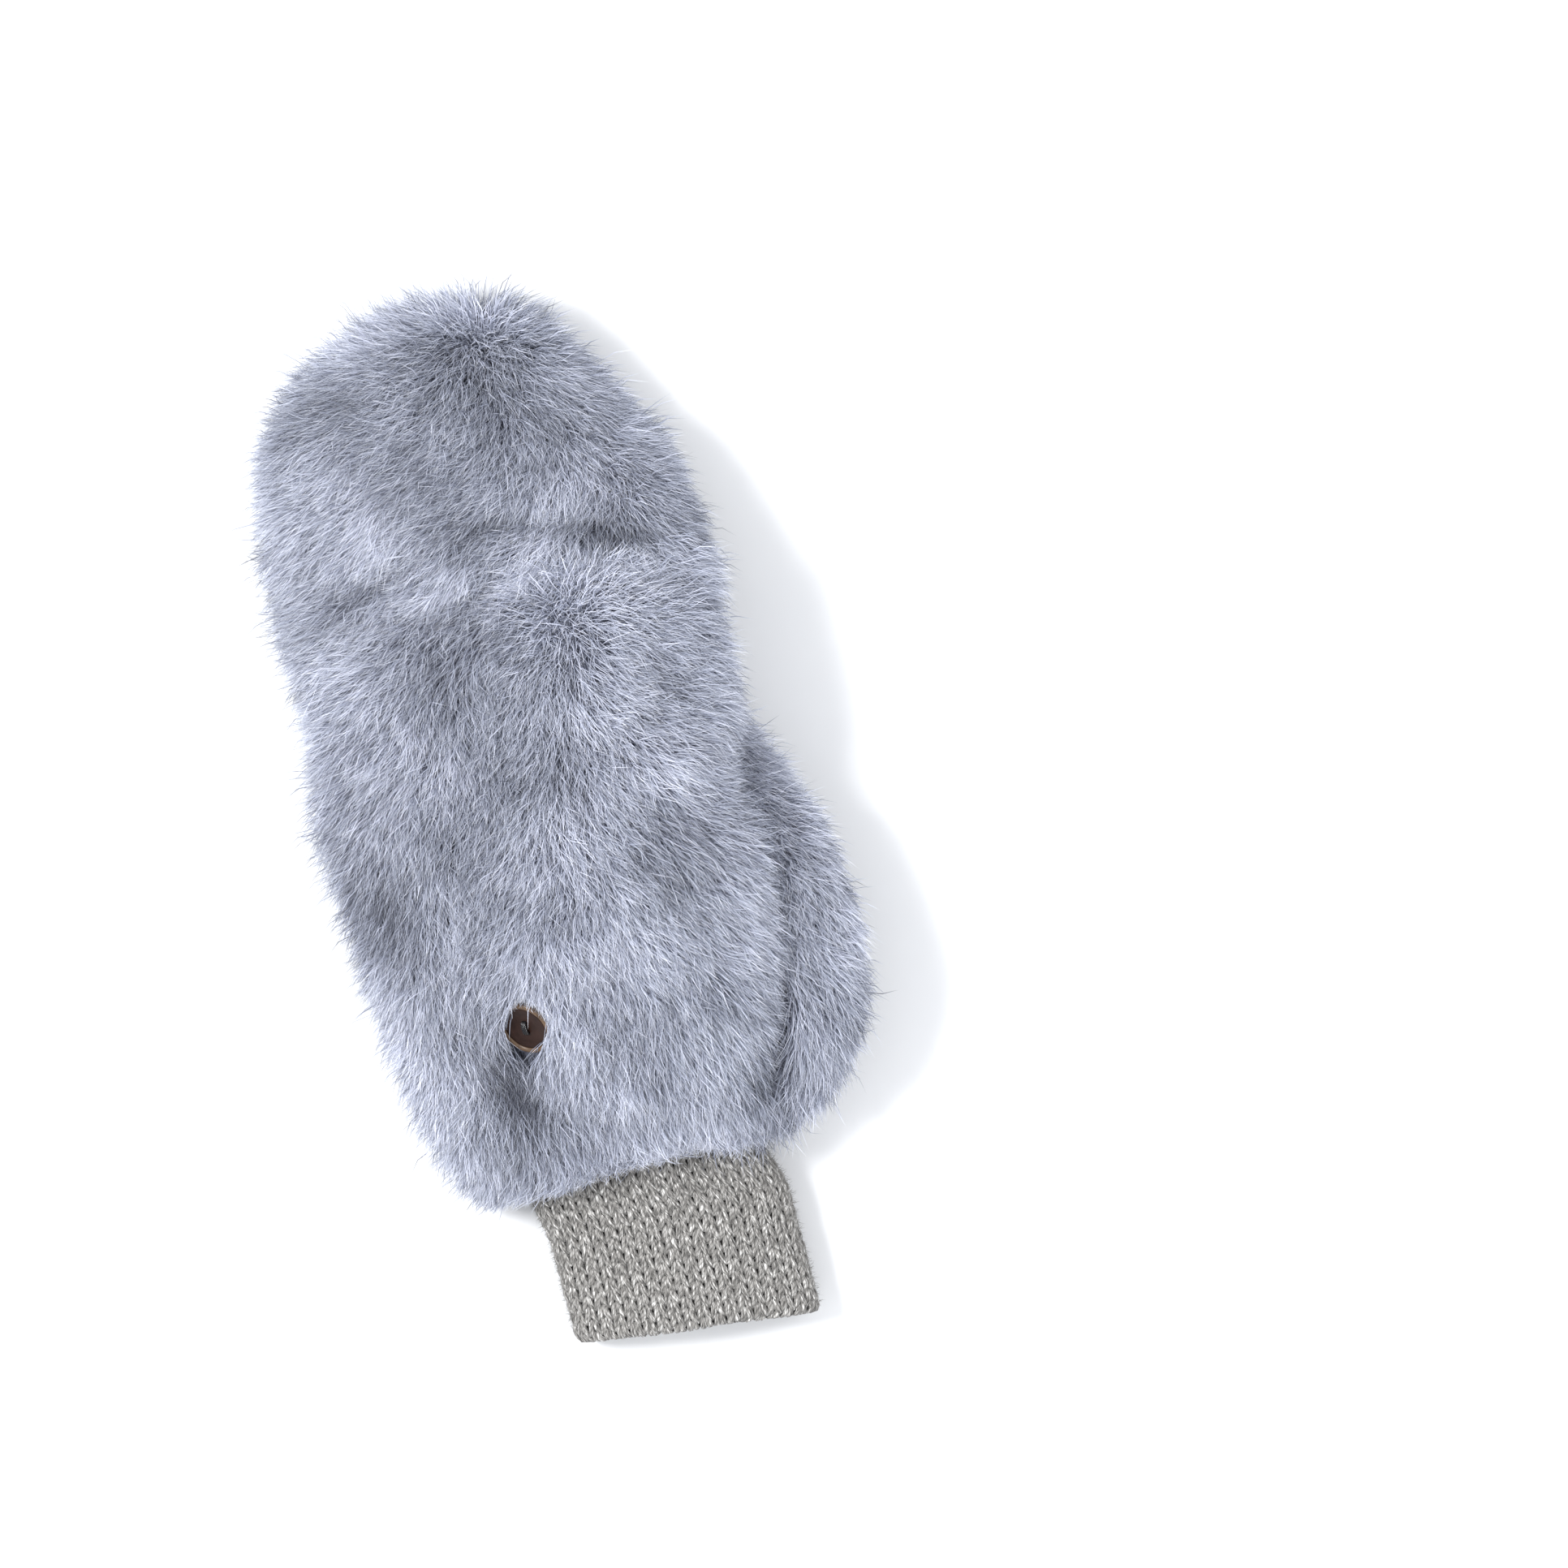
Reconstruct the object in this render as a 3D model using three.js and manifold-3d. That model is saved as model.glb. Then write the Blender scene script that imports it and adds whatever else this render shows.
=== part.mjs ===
// A convertible fur mitten for the left hand, lying palm down on a table.
// Its pieces are a fur hand body, a fur cap for the fingers, a fur thumb folded under the palm,
// a knitted cuff, and a button with its thread.
// Lengths are millimetres. X runs across the hand with the thumb at +X, Y from the wrist to the
// fingers with 0 at the cuff's end, and Z up from the table.
import * as THREE from "three";
import { mergeVertices } from "three/addons/utils/BufferGeometryUtils.js";
import Module from "manifold-3d";

const wasm = await Module();
wasm.setup();

// Driving sizes of the hand.
const mittenLength = 284; // cuff's end to the tips of the cap's fur
const handWidth = 120; // over the fur at the knuckles
const handHeight = 42; // fur's backing, from palm to back
const lowerShare = 0.42; // share of the height below the widest line
const dentsFrom = 0.5; // share of the height where the dents of the back begin
const dentsFull = 0.95; // and where they have their full depth
const backingWall = 3; // fur's backing with its lining
const furDepth = 8; // locks' reach off the backing
const restFurDepth = 4.2; // the same where the mitten lies on its fur
const clearance = 0.35; // between two pieces
const tuckClearance = 1; // between the cap's palm wall and the body's inside it
const rimSetIn = 4.5; // more than a wall, so that an open edge is square to it

// The cap: its joint across the back, its open lip on the palm, and the palm wall that it covers.
const seamPlace = 205;
const seamDrop = 13; // how much lower the joint is at the sides
const lipPlace = 214;
const lipDrop = 26;
const tonguePlace = 227; // finger end of the body's palm wall
const tuckLength = 18; // length over which the body steps in under the cap
const tuckLead = 11; // how far before the cap's edge it has done so
const capRounding = 72; // length of the round finger end
const capDoming = 52; // length over which it thins
const capFullness = 2.25; // 2 is a circle's, and more is squarer
const domeFullness = 2.1;

// How high on the side of the hand an edge has its form of the palm and of the back, as sines
// of the angle round the hand.
const lipTurn = { palm: -0.25, back: 0.1 };
const tongueTurn = { palm: -0.42, back: -0.12 };
const tuckTurn = { palm: 0.02, back: 0.24 };

// The thumb, under the palm.
const thumbTip = 206;
const thumbRoot = 48;
const thumbHeight = 30;
const thumbRounding = 24;
const rootRounding = 34;
const thumbFullness = 2.2;
const thumbMiddle = 0.46; // share of its height below its widest line
const thumbEndHeight = 0.25; // share of its height that its round ends tend to
const thumbLift = 30; // how far the palm rides up on the thumb
const liftBlend = 30; // width over which it does
const liftOnPalm = 0.55; // share of the lift that the back doesn't follow
const thumbHoleAcross = 34;
const thumbHoleAlong = 44;
const thumbHoleX = 31;
const thumbHoleY = 82;

// The cuff.
const cuffWidth = 65;
const cuffHeight = 20;
const cuffWall = 3.6;
const cuffShift = 1.5; // of its middle, towards the thumb
const cuffSlant = 8; // how much further the end reaches on the thumb side
const cuffEndMiddle = 1.2;
const cuffTop = 53; // its sewn end, inside the body
const cuffHem = 46; // where the body's wrist edge is
const cuffBlend = 16; // length over which it widens to the wrist
const cuffFold = 1.4; // rounding of its folded end
const cuffFoldLength = 2.5;
const walePitch = 3.9;
const waleDepth = 0.9;

// The button.
const buttonDiameter = 15.4;
const buttonThickness = 2.8;
const buttonRimWidth = 1.5;
const buttonDish = 0.9;
const buttonEdge = 0.7; // bevel of its edge
const buttonX = -20.2;
const buttonY = 91.6;
const buttonTurn = 0.3;
const holeDiameter = 2;
const holeSpacing = 3.8;
const threadDiameter = 1.2;

// How square the ovals round each piece are, below and above the widest line. An ellipse has 1.
const handOval = { below: 0.66, above: 0.88 };
const thumbOval = { below: 0.7, above: 0.9 };
const cuffOval = { below: 0.7, above: 0.85 };

// The fur's locks.
const lockLength = 31;
const lockWidth = 20;
const lockRidge = 0.72; // height of a lock's ridge, as a share of the reach of its tip
const lockSink = 2.4; // how deep its root lies in the backing
const lockLead = 0.4; // share of its length behind its middle
const lockVariety = 0.12;
const lockSizes = [1, 0.82, 0.64, 0.48]; // tried in turn beside another piece
const pressedFur = 1; // how much of a lock's tip the table flattens
const rootedShare = 0.06; // least share of a lock that its backing holds
const lockPitch = 19.5; // round the hand
const rowPitch = 17; // along the hand
const rowStagger = 0.13; // of a pitch, from row to row
const fewestLocks = 5; // round a form

// Room that a piece's locks leave round the other pieces.
const seamRoom = 0.5;
const buttonRoom = 1.5;
const thumbRoom = 6;
const cuffRoom = 1;
const handRoom = 7.2;
const backLevel = 27.3; // above it is the back of the hand
const hiddenLevel = 43.5; // above it the thumb is out of reach

// The hand's backing. along is a share of mittenLength, left, right and edge of handWidth,
// height of handHeight, rest of restFurDepth and lift of thumbLift. edge is where the palm
// comes up onto the thumb.
const handTable = [
  { along: 0.162, left: -0.308, right: 0.285, height: 0.62, rest: 0.25, lift: 0, edge: 0.04 },
  { along: 0.19, left: -0.35, right: 0.292, height: 0.7, rest: 0.4, lift: 0.1, edge: 0 },
  { along: 0.243, left: -0.392, right: 0.305, height: 0.81, rest: 1, lift: 0.48, edge: -0.11 },
  { along: 0.31, left: -0.425, right: 0.35, height: 0.91, rest: 1, lift: 0.86, edge: -0.18 },
  { along: 0.373, left: -0.442, right: 0.372, height: 0.97, rest: 1, lift: 0.97, edge: -0.19 },
  { along: 0.437, left: -0.45, right: 0.376, height: 1, rest: 1, lift: 1, edge: -0.13 },
  { along: 0.5, left: -0.458, right: 0.35, height: 1, rest: 1, lift: 1, edge: -0.07 },
  { along: 0.545, left: -0.458, right: 0.395, height: 0.98, rest: 1, lift: 0.97, edge: -0.03 },
  { along: 0.6, left: -0.45, right: 0.415, height: 0.95, rest: 1, lift: 0.92, edge: 0.02 },
  { along: 0.662, left: -0.437, right: 0.43, height: 0.92, rest: 1, lift: 0.82, edge: 0.09 },
  { along: 0.704, left: -0.433, right: 0.428, height: 0.9, rest: 1, lift: 0.66, edge: 0.13 },
  { along: 0.757, left: -0.428, right: 0.423, height: 0.88, rest: 1, lift: 0.34, edge: 0.15 },
  { along: 0.827, left: -0.424, right: 0.42, height: 0.86, rest: 1, lift: 0, edge: 0.15 },
  { along: 1, left: -0.38, right: 0.45, height: 0.86, rest: 1, lift: 0, edge: 0.15 },
];

// The thumb's backing. left and right are shares of handWidth, height and rise of thumbHeight.
// rise is how far the gusset comes up beside the hand.
const thumbTable = [
  { along: 0, left: -0.02, right: 0.43, height: 0.8, rise: 0.1 },
  { along: 0.12, left: -0.09, right: 0.5, height: 0.95, rise: 0.3 },
  { along: 0.25, left: -0.15, right: 0.535, height: 1.05, rise: 0.36 },
  { along: 0.36, left: -0.13, right: 0.54, height: 1, rise: 0.36 },
  { along: 0.48, left: -0.09, right: 0.515, height: 0.86, rise: 0.3 },
  { along: 0.58, left: -0.04, right: 0.46, height: 0.82, rise: 0.12 },
  { along: 0.7, left: 0.01, right: 0.415, height: 0.78, rise: 0 },
  { along: 0.85, left: 0.09, right: 0.41, height: 0.68, rise: 0 },
  { along: 1, left: 0.14, right: 0.41, height: 0.56, rise: 0 },
];

// Dents and swellings of the back of the hand. across and both reaches are shares of handWidth,
// along of mittenLength and depth of furDepth.
const backDents = [
  { across: 0.12, along: 0.771, acrossReach: 0.15, alongReach: 0.05, depth: 0.36 },
  { across: -0.2, along: 0.745, acrossReach: 0.14, alongReach: 0.05, depth: 0.26 },
  { across: -0.39, along: 0.458, acrossReach: 0.1, alongReach: 0.12, depth: 0.42 },
  { across: -0.18, along: 0.29, acrossReach: 0.1, alongReach: 0.12, depth: 0.5 },
  { across: 0.26, along: 0.52, acrossReach: 0.15, alongReach: 0.1, depth: -0.34 },
  { across: 0.02, along: 0.63, acrossReach: 0.2, alongReach: 0.1, depth: -0.24 },
  { across: -0.26, along: 0.86, acrossReach: 0.16, alongReach: 0.14, depth: -0.2 },
];
const seamDent = 3; // depth of the valley along the cap's joint
const seamDentReach = 7;

// Where the fur parts: a whorl near the tip of the cap, and one below the joint.
const capWhorl = { across: 0.12, along: 0.955 };
const bodyWhorl = { across: 0.06, along: 0.72 };
const bodySpread = 0.7; // how much the body's fur turns sideways
const bodyFall = 40; // how far above its whorl it starts to fall to the wrist
const thumbSlant = 0.35; // how much the thumb's fur turns out, from its root to its middle
const thumbSlantFrom = 0.27;
const thumbSlantFull = 0.65;
const firstLocks = 4; // first row's distance from an edge

const furColour = 0x9ca2b4;
const cuffColour = 0xa19f9e;
const buttonColour = 0x3a2a27;
const threadColour = 0x17161a;

// Sides and rows of the forms, and how much closer the rows are at a round end.
const handSides = 32;
const hollowSides = 24;
const thumbSides = 24;
const thumbHollowSides = 20;
const cuffHollowSides = 28;
const endBunching = 1.7;
const bodyBunching = 1.5;
const endRow = 0.4; // last row of a round end, before its point
const hollowEndRow = 0.6;
const probeAlong = 0.5; // steps for the slopes of a form
const probeTurn = 0.02;

const tipPlace = mittenLength - furDepth;
const fullTurn = 2 * Math.PI;

// A value that goes smoothly from 0 at low to 1 at high.
function ease(low, high, value) {
  const share = THREE.MathUtils.clamp((value - low) / (high - low), 0, 1);
  return share * share * (3 - 2 * share);
}

// A named column of a table at a place along it, on a smooth curve through the rows.
function columnAt(table, column, along) {
  const last = table.length - 1;
  const place = THREE.MathUtils.clamp(along, table[0].along, table[last].along);
  let row = 0;
  while (row < last - 1 && table[row + 1].along < place) row += 1;
  const before = table[Math.max(row - 1, 0)];
  const from = table[row];
  const to = table[row + 1];
  const after = table[Math.min(row + 2, last)];
  const span = to.along - from.along;
  const share = (place - from.along) / span;
  const slopeFrom = ((to[column] - before[column]) / (to.along - before.along)) * span;
  const slopeTo = ((after[column] - from[column]) / (after.along - from.along)) * span;
  const square = share * share;
  const cube = square * share;
  return (
    (2 * cube - 3 * square + 1) * from[column] +
    (cube - 2 * square + share) * slopeFrom +
    (3 * square - 2 * cube) * to[column] +
    (cube - square) * slopeTo
  );
}

// How much of its size a form keeps at a share of its round end.
function rounding(share, fullness) {
  const inside = THREE.MathUtils.clamp(share, 0, 1);
  return Math.pow(1 - Math.pow(inside, fullness), 1 / fullness);
}

// A sine or cosine bent so that its curve is a fuller or flatter oval.
function bent(value, power) {
  return Math.sign(value) * Math.pow(Math.abs(value), power);
}

// The joint's place along the hand, across the back, at the cosine of an angle round the hand.
function seamAt(cosine) {
  return seamPlace - seamDrop * cosine * cosine;
}

// The lip's place along the hand, across the palm.
function lipAt(cosine) {
  return lipPlace - lipDrop * cosine * cosine;
}

// How much of an edge's palm form holds at an angle round the hand.
function onPalm(turn, angle) {
  return 1 - ease(turn.palm, turn.back, Math.sin(angle));
}

// The cap's open edge: the joint on the back and the lip on the palm.
function capEdge(angle) {
  const cosine = Math.cos(angle);
  return THREE.MathUtils.lerp(seamAt(cosine), lipAt(cosine), onPalm(lipTurn, angle));
}

// The body's finger end: against the cap on the back, and under it as a tongue on the palm.
function bodyEdge(angle) {
  return THREE.MathUtils.lerp(capEdge(angle) - clearance, tonguePlace, onPalm(tongueTurn, angle));
}

// How far the body is set in where it passes under the cap.
function tuckAt(y, angle) {
  const edge = capEdge(angle);
  const along = ease(edge - tuckLead - tuckLength, edge - tuckLead, y);
  return (backingWall + tuckClearance) * along * onPalm(tuckTurn, angle);
}

// How far the back of the hand sinks at a place.
function dentAt(x, y) {
  let depth = 0;
  for (const dent of backDents) {
    const across = (x - dent.across * handWidth) / (dent.acrossReach * handWidth);
    const along = (y - dent.along * mittenLength) / (dent.alongReach * handWidth);
    depth += dent.depth * furDepth * Math.exp(-across * across - along * along);
  }
  const fromSeam = (y - seamAt(x / (handWidth / 2))) / seamDentReach;
  return depth + seamDent * Math.exp(-fromSeam * fromSeam);
}

// A point of the hand's backing: an oval, flat below, that tapers to the finger end, is lifted
// where it rides on the thumb and is dented on its back.
function handPoint(y, angle, inset) {
  const along = y / mittenLength;
  const left = columnAt(handTable, "left", along) * handWidth;
  const right = columnAt(handTable, "right", along) * handWidth;
  const height = columnAt(handTable, "height", along) * handHeight;
  const rest = columnAt(handTable, "rest", along) * restFurDepth;
  const tip = tipPlace - inset;
  const narrow = rounding((y - tipPlace + capRounding) / (capRounding + tip - tipPlace), capFullness);
  const thin = rounding((y - tipPlace + capDoming) / (capDoming + tip - tipPlace), domeFullness);
  const sine = Math.sin(angle);
  const below = sine < 0;
  const power = below ? handOval.below : handOval.above;
  const half = ((right - left) / 2 - inset) * narrow;
  const x = (left + right) / 2 + half * bent(Math.cos(angle), power);
  const reach = below ? height * lowerShare : height * (1 - lowerShare);
  const z = rest + height * lowerShare + (reach - inset) * thin * bent(sine, power);
  const level = THREE.MathUtils.clamp((z - rest) / height, 0, 1);
  const edge = columnAt(handTable, "edge", along) * handWidth;
  const onThumb = ease(edge - liftBlend / 2, edge + liftBlend / 2, x);
  const lift = columnAt(handTable, "lift", along) * thumbLift * onThumb * (1 - liftOnPalm * level);
  const dent = dentAt(x, y) * ease(dentsFrom, dentsFull, level) * thin;
  return new THREE.Vector3(x, y, z + lift - dent);
}

// A point of the thumb's backing, which leans up beside the hand at its gusset.
function thumbPoint(y, angle, inset) {
  const along = (y - thumbRoot) / (thumbTip - thumbRoot);
  const left = columnAt(thumbTable, "left", along) * handWidth;
  const right = columnAt(thumbTable, "right", along) * handWidth;
  const height = columnAt(thumbTable, "height", along) * thumbHeight;
  const rise = columnAt(thumbTable, "rise", along) * thumbHeight;
  const atTip = rounding((y - thumbTip + thumbRounding) / (thumbRounding - inset), thumbFullness);
  const atRoot = rounding((thumbRoot + rootRounding - y) / (rootRounding - inset), thumbFullness);
  const round = atTip * atRoot;
  const sine = Math.sin(angle);
  const power = sine < 0 ? thumbOval.below : thumbOval.above;
  const half = ((right - left) / 2 - inset) * round;
  const x = (left + right) / 2 + half * bent(Math.cos(angle), power);
  const thin = THREE.MathUtils.lerp(thumbEndHeight, 1, round) * round;
  const z = restFurDepth + height * thumbMiddle + (height / 2 - inset) * thin * bent(sine, power);
  const outside = ease((left + right) / 2, right, x);
  return new THREE.Vector3(x, y, Math.max(z, restFurDepth + inset) + rise * outside);
}

// The cuff's end, slanting across the wrist.
function cuffEnd(angle) {
  return cuffEndMiddle - (cuffSlant / 2) * Math.cos(angle);
}

// A point of the cuff: a flat oval on the table, which widens to fill the body's wrist.
function cuffPoint(y, angle, inset) {
  const sine = Math.sin(angle);
  const power = sine < 0 ? cuffOval.below : cuffOval.above;
  const x = cuffShift + (cuffWidth / 2 - inset) * bent(Math.cos(angle), power);
  const z = cuffHeight / 2 - waleDepth / 2 + (cuffHeight / 2 - inset) * bent(sine, power);
  const free = new THREE.Vector3(x, y, z);
  const sewn = handPoint(Math.max(y, cuffHem), angle, inset + backingWall + 3 * clearance);
  sewn.y = y;
  return free.lerp(sewn, ease(cuffHem - cuffBlend, cuffHem + 1, y));
}

// A closed geometry from rows of points, each row closed to the next and both ends to a point.
function closedSkin(rows, ends) {
  const around = rows[0].length;
  const points = rows.flat().concat(ends);
  const faces = [];
  for (let row = 0; row < rows.length - 1; row += 1) {
    for (let step = 0; step < around; step += 1) {
      const next = (step + 1) % around;
      const a = row * around + step;
      const b = row * around + next;
      const c = (row + 1) * around + next;
      const d = (row + 1) * around + step;
      faces.push(a, b, c, a, c, d);
    }
  }
  const first = points.length - 2;
  const final = points.length - 1;
  const lastRow = (rows.length - 1) * around;
  for (let step = 0; step < around; step += 1) {
    const next = (step + 1) % around;
    faces.push(first, next, step);
    faces.push(final, lastRow + step, lastRow + next);
  }
  const geometry = new THREE.BufferGeometry().setFromPoints(points);
  geometry.setIndex(faces);
  return geometry;
}

// A solid for joining and cutting, with its faces turned outwards.
function solidOf(geometry) {
  const bare = geometry.clone();
  bare.deleteAttribute("normal");
  bare.deleteAttribute("uv");
  const merged = mergeVertices(bare, 1e-4);
  const vertProperties = new Float32Array(merged.attributes.position.array);
  const triVerts = new Uint32Array(merged.index.array);
  let solid = new wasm.Manifold(new wasm.Mesh({ numProp: 3, vertProperties, triVerts }));
  if (solid.volume() < 0) {
    const turned = triVerts.map((_, place) => triVerts[place - (place % 3) + 2 - (place % 3)]);
    solid = new wasm.Manifold(new wasm.Mesh({ numProp: 3, vertProperties, triVerts: turned }));
  }
  return solid;
}

// A mesh of the finished solid, named for its piece.
function meshOf(name, solid, colour, roughness) {
  const found = solid.getMesh();
  const geometry = new THREE.BufferGeometry();
  geometry.setAttribute("position", new THREE.BufferAttribute(found.vertProperties, 3));
  geometry.setIndex(new THREE.BufferAttribute(found.triVerts, 1));
  geometry.computeVertexNormals();
  const material = new THREE.MeshStandardMaterial({ color: colour, roughness, metalness: 0 });
  const mesh = new THREE.Mesh(geometry, material);
  mesh.name = name;
  return mesh;
}

// A sack between two edges: rows of points on a form, closer together near a round end. An open
// end has one more row, set in by its rim, so that its edge is square to the wall.
function sackSolid(pointAt, options) {
  const { around, steps, from, to, inset, bunching = 1, rimFrom = 0, rimTo = 0 } = options;
  const rowAt = (share, setIn) =>
    Array.from({ length: around }, (_, turn) => {
      const angle = (turn / around) * fullTurn;
      return pointAt(THREE.MathUtils.lerp(from(angle), to(angle), share), angle, setIn);
    });
  const rows = [];
  for (let step = 0; step <= steps; step += 1) {
    rows.push(rowAt(1 - Math.pow(1 - step / steps, bunching), inset));
  }
  if (rimFrom) rows.unshift(rowAt(0, inset + rimFrom));
  if (rimTo) rows.push(rowAt(1, inset + rimTo));
  const middleOf = (row) =>
    row.reduce((sum, point) => sum.add(point), new THREE.Vector3()).divideScalar(row.length);
  return solidOf(closedSkin(rows, [middleOf(rows[0]), middleOf(rows[rows.length - 1])]));
}

// The outward direction of a form at a place.
function normalAt(pointAt, y, angle) {
  const along = pointAt(y + probeAlong, angle, 0).sub(pointAt(y - probeAlong, angle, 0));
  const round = pointAt(y, angle + probeTurn, 0).sub(pointAt(y, angle - probeTurn, 0));
  return round.cross(along).negate().normalize();
}

// Follows the fur over a form for a distance, and returns the place that it comes to.
function follow(pointAt, limits, y, angle, flow, distance) {
  const steps = 4;
  const stride = distance / steps;
  const leastSpeed = 0.05;
  let place = { y, angle };
  for (let step = 0; step < steps; step += 1) {
    const here = pointAt(place.y, place.angle, 0);
    const along = pointAt(place.y + probeAlong, place.angle, 0).sub(here).divideScalar(probeAlong);
    const round = pointAt(place.y, place.angle + probeTurn, 0).sub(here).divideScalar(probeTurn);
    const pull = flow(here);
    const aa = along.dot(along);
    const ar = along.dot(round);
    const rr = round.dot(round);
    const pa = pull.dot(along);
    const pr = pull.dot(round);
    const det = Math.max(aa * rr - ar * ar, 1e-6);
    let dy = (pa * rr - pr * ar) / det;
    let dAngle = (pr * aa - pa * ar) / det;
    const speed = along.clone().multiplyScalar(dy).addScaledVector(round, dAngle).length();
    dy *= stride / Math.max(speed, leastSpeed);
    dAngle *= stride / Math.max(speed, leastSpeed);
    const nextY = THREE.MathUtils.clamp(place.y + dy, limits.low, limits.high);
    place = { y: nextY, angle: place.angle + dAngle };
  }
  return place;
}

// One lock: a pointed leaf of fur with a ridge, from a root in the backing to its free tip.
function lockSolid(points) {
  const geometry = new THREE.BufferGeometry().setFromPoints(points);
  geometry.setIndex([0, 1, 3, 0, 3, 2, 0, 2, 1, 4, 3, 1, 4, 2, 3, 4, 1, 2]);
  return solidOf(geometry);
}

// The lengths round a form up to each of many even turns.
function girthAt(pointAt, y, samples) {
  const reached = [0];
  let before = pointAt(y, 0, 0);
  for (let turn = 1; turn <= samples; turn += 1) {
    const after = pointAt(y, (turn / samples) * fullTurn, 0);
    reached.push(reached[turn - 1] + after.distanceTo(before));
    before = after;
  }
  return reached;
}

// Rows of staggered locks over a form. depthAt gives their reach, and isClear keeps them off the
// neighbouring pieces: a lock that would touch one is made shorter and flatter, or left out. So is
// one that would not be rooted in the backing.
function furLocks(pointAt, backing, limits, flow, depthAt, isClear) {
  const locks = [];
  const samples = 72;
  let rowNumber = 0;
  for (let y = limits.high - rowPitch / 4; y > limits.low; y -= rowPitch) {
    const reached = girthAt(pointAt, y, samples);
    const girth = reached[samples];
    const count = Math.max(fewestLocks, Math.round(girth / lockPitch));
    const stagger = (rowNumber % 2) / 2 + rowStagger * rowNumber;
    for (let number = 0; number < count; number += 1) {
      const distance = (((number + stagger) / count) % 1) * girth;
      const turn = reached.findIndex((value) => value > distance) - 1;
      const angle = (Math.max(turn, 0) / samples) * fullTurn;
      const lock = oneLock(pointAt, limits, y, angle, flow, depthAt, isClear, rowNumber + number);
      const rooted = lock ? lock.intersect(backing).volume() / lock.volume() : 0;
      if (rooted > rootedShare) locks.push(lock);
    }
    rowNumber += 1;
  }
  return locks;
}

// The lock at one place, as large as its neighbours allow.
function oneLock(pointAt, limits, y, angle, flow, depthAt, isClear, number) {
  const vary = 1 + lockVariety * Math.sin(number * 2.4);
  for (const size of lockSizes) {
    const length = lockLength * size * vary;
    const width = (lockWidth / 2) * Math.sqrt(size) * (2 - vary);
    const against = (at) => flow(at).negate();
    const back = follow(pointAt, limits, y, angle, against, length * lockLead);
    const front = follow(pointAt, limits, y, angle, flow, length * (1 - lockLead));
    const centre = pointAt(y, angle, 0);
    const normal = normalAt(pointAt, y, angle);
    const rootNormal = normalAt(pointAt, back.y, back.angle);
    const tipNormal = normalAt(pointAt, front.y, front.angle);
    const tipFoot = pointAt(front.y, front.angle, 0);
    const rootFoot = pointAt(back.y, back.angle, 0);
    const side = tipFoot.clone().sub(rootFoot).cross(normal).normalize();
    const depth = depthAt(centre, normal) * Math.sqrt(size);
    const root = rootFoot.addScaledVector(rootNormal, -lockSink);
    const [left, right] = [1, -1].map((hand) => {
      const sideways = side.clone().multiplyScalar(hand);
      const place = follow(pointAt, limits, y, angle, () => sideways, width);
      const foot = pointAt(place.y, place.angle, 0);
      return foot.addScaledVector(normalAt(pointAt, place.y, place.angle), -lockSink / 2);
    });
    const ridge = centre.clone().addScaledVector(normal, depth * lockRidge);
    const tip = tipFoot.addScaledVector(tipNormal, depth);
    const points = [root, left, right, ridge, tip];
    const middles = [left, right, ridge].flatMap((point) =>
      [0.2, 0.4, 0.6, 0.8].map((share) => point.clone().lerp(tip, share)),
    );
    if (points.concat(middles).every(isClear)) return lockSolid(points);
  }
  return null;
}

// Whether a point lies inside a form that is grown by a distance.
function formHolds(pointAt, from, to, point, grow) {
  if (point.y < from || point.y > to) return false;
  const samples = 40;
  let inside = false;
  let before = pointAt(point.y, 0, -grow);
  for (let turn = 1; turn <= samples; turn += 1) {
    const after = pointAt(point.y, (turn / samples) * fullTurn, -grow);
    const crosses = before.z > point.z !== after.z > point.z;
    const share = (point.z - before.z) / (after.z - before.z);
    if (crosses && point.x < before.x + (after.x - before.x) * share) inside = !inside;
    before = after;
  }
  return inside;
}

// Directions of the fur: away from a whorl on the back of the hand. spread is how much they turn
// sideways, fall pulls them towards the wrist, and height lets them fall off the back.
function flowFrom(whorl, spread, fall, height) {
  return (at) => {
    const across = (at.x - whorl.across * handWidth) * spread;
    const along = at.y - whorl.along * mittenLength - fall;
    return new THREE.Vector3(across, along, (at.z - handHeight) * height).normalize();
  };
}
const capFlow = flowFrom(capWhorl, 1, 0, 1);
const bodyFlow = flowFrom(bodyWhorl, bodySpread, bodyFall, 0);
function thumbFlow(at) {
  const along = (at.y - thumbRoot) / (thumbTip - thumbRoot);
  const across = thumbSlant * ease(thumbSlantFrom, thumbSlantFull, along);
  return new THREE.Vector3(across, -1, 0).normalize();
}

// The fur's reach: full above and at the sides, and down to the table below, which flattens it.
function depthOnTable(at, normal) {
  const faceDown = ease(0.2, 0.75, -normal.z);
  const nearTable = ease(3 * restFurDepth, 1.5 * restFurDepth, at.z);
  return THREE.MathUtils.lerp(furDepth, at.z / lockRidge + pressedFur, faceDown * nearTable);
}

// The table, as a block that trims what would reach below it.
function tableBlock() {
  const size = 2 * mittenLength;
  const block = new THREE.BoxGeometry(size, size, size);
  block.translate(0, mittenLength / 2, -size / 2);
  return solidOf(block);
}

// The button's place: on the backing, facing out of it.
const buttonFoot = new THREE.Vector3();
const buttonNormal = new THREE.Vector3();
{
  let angle = Math.PI / 2;
  for (let tries = 0; tries < 60; tries += 1) {
    angle += (handPoint(buttonY, angle, 0).x - buttonX) * 0.01;
  }
  buttonFoot.copy(handPoint(buttonY, angle, 0));
  buttonNormal.copy(normalAt(handPoint, buttonY, angle));
}

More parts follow.
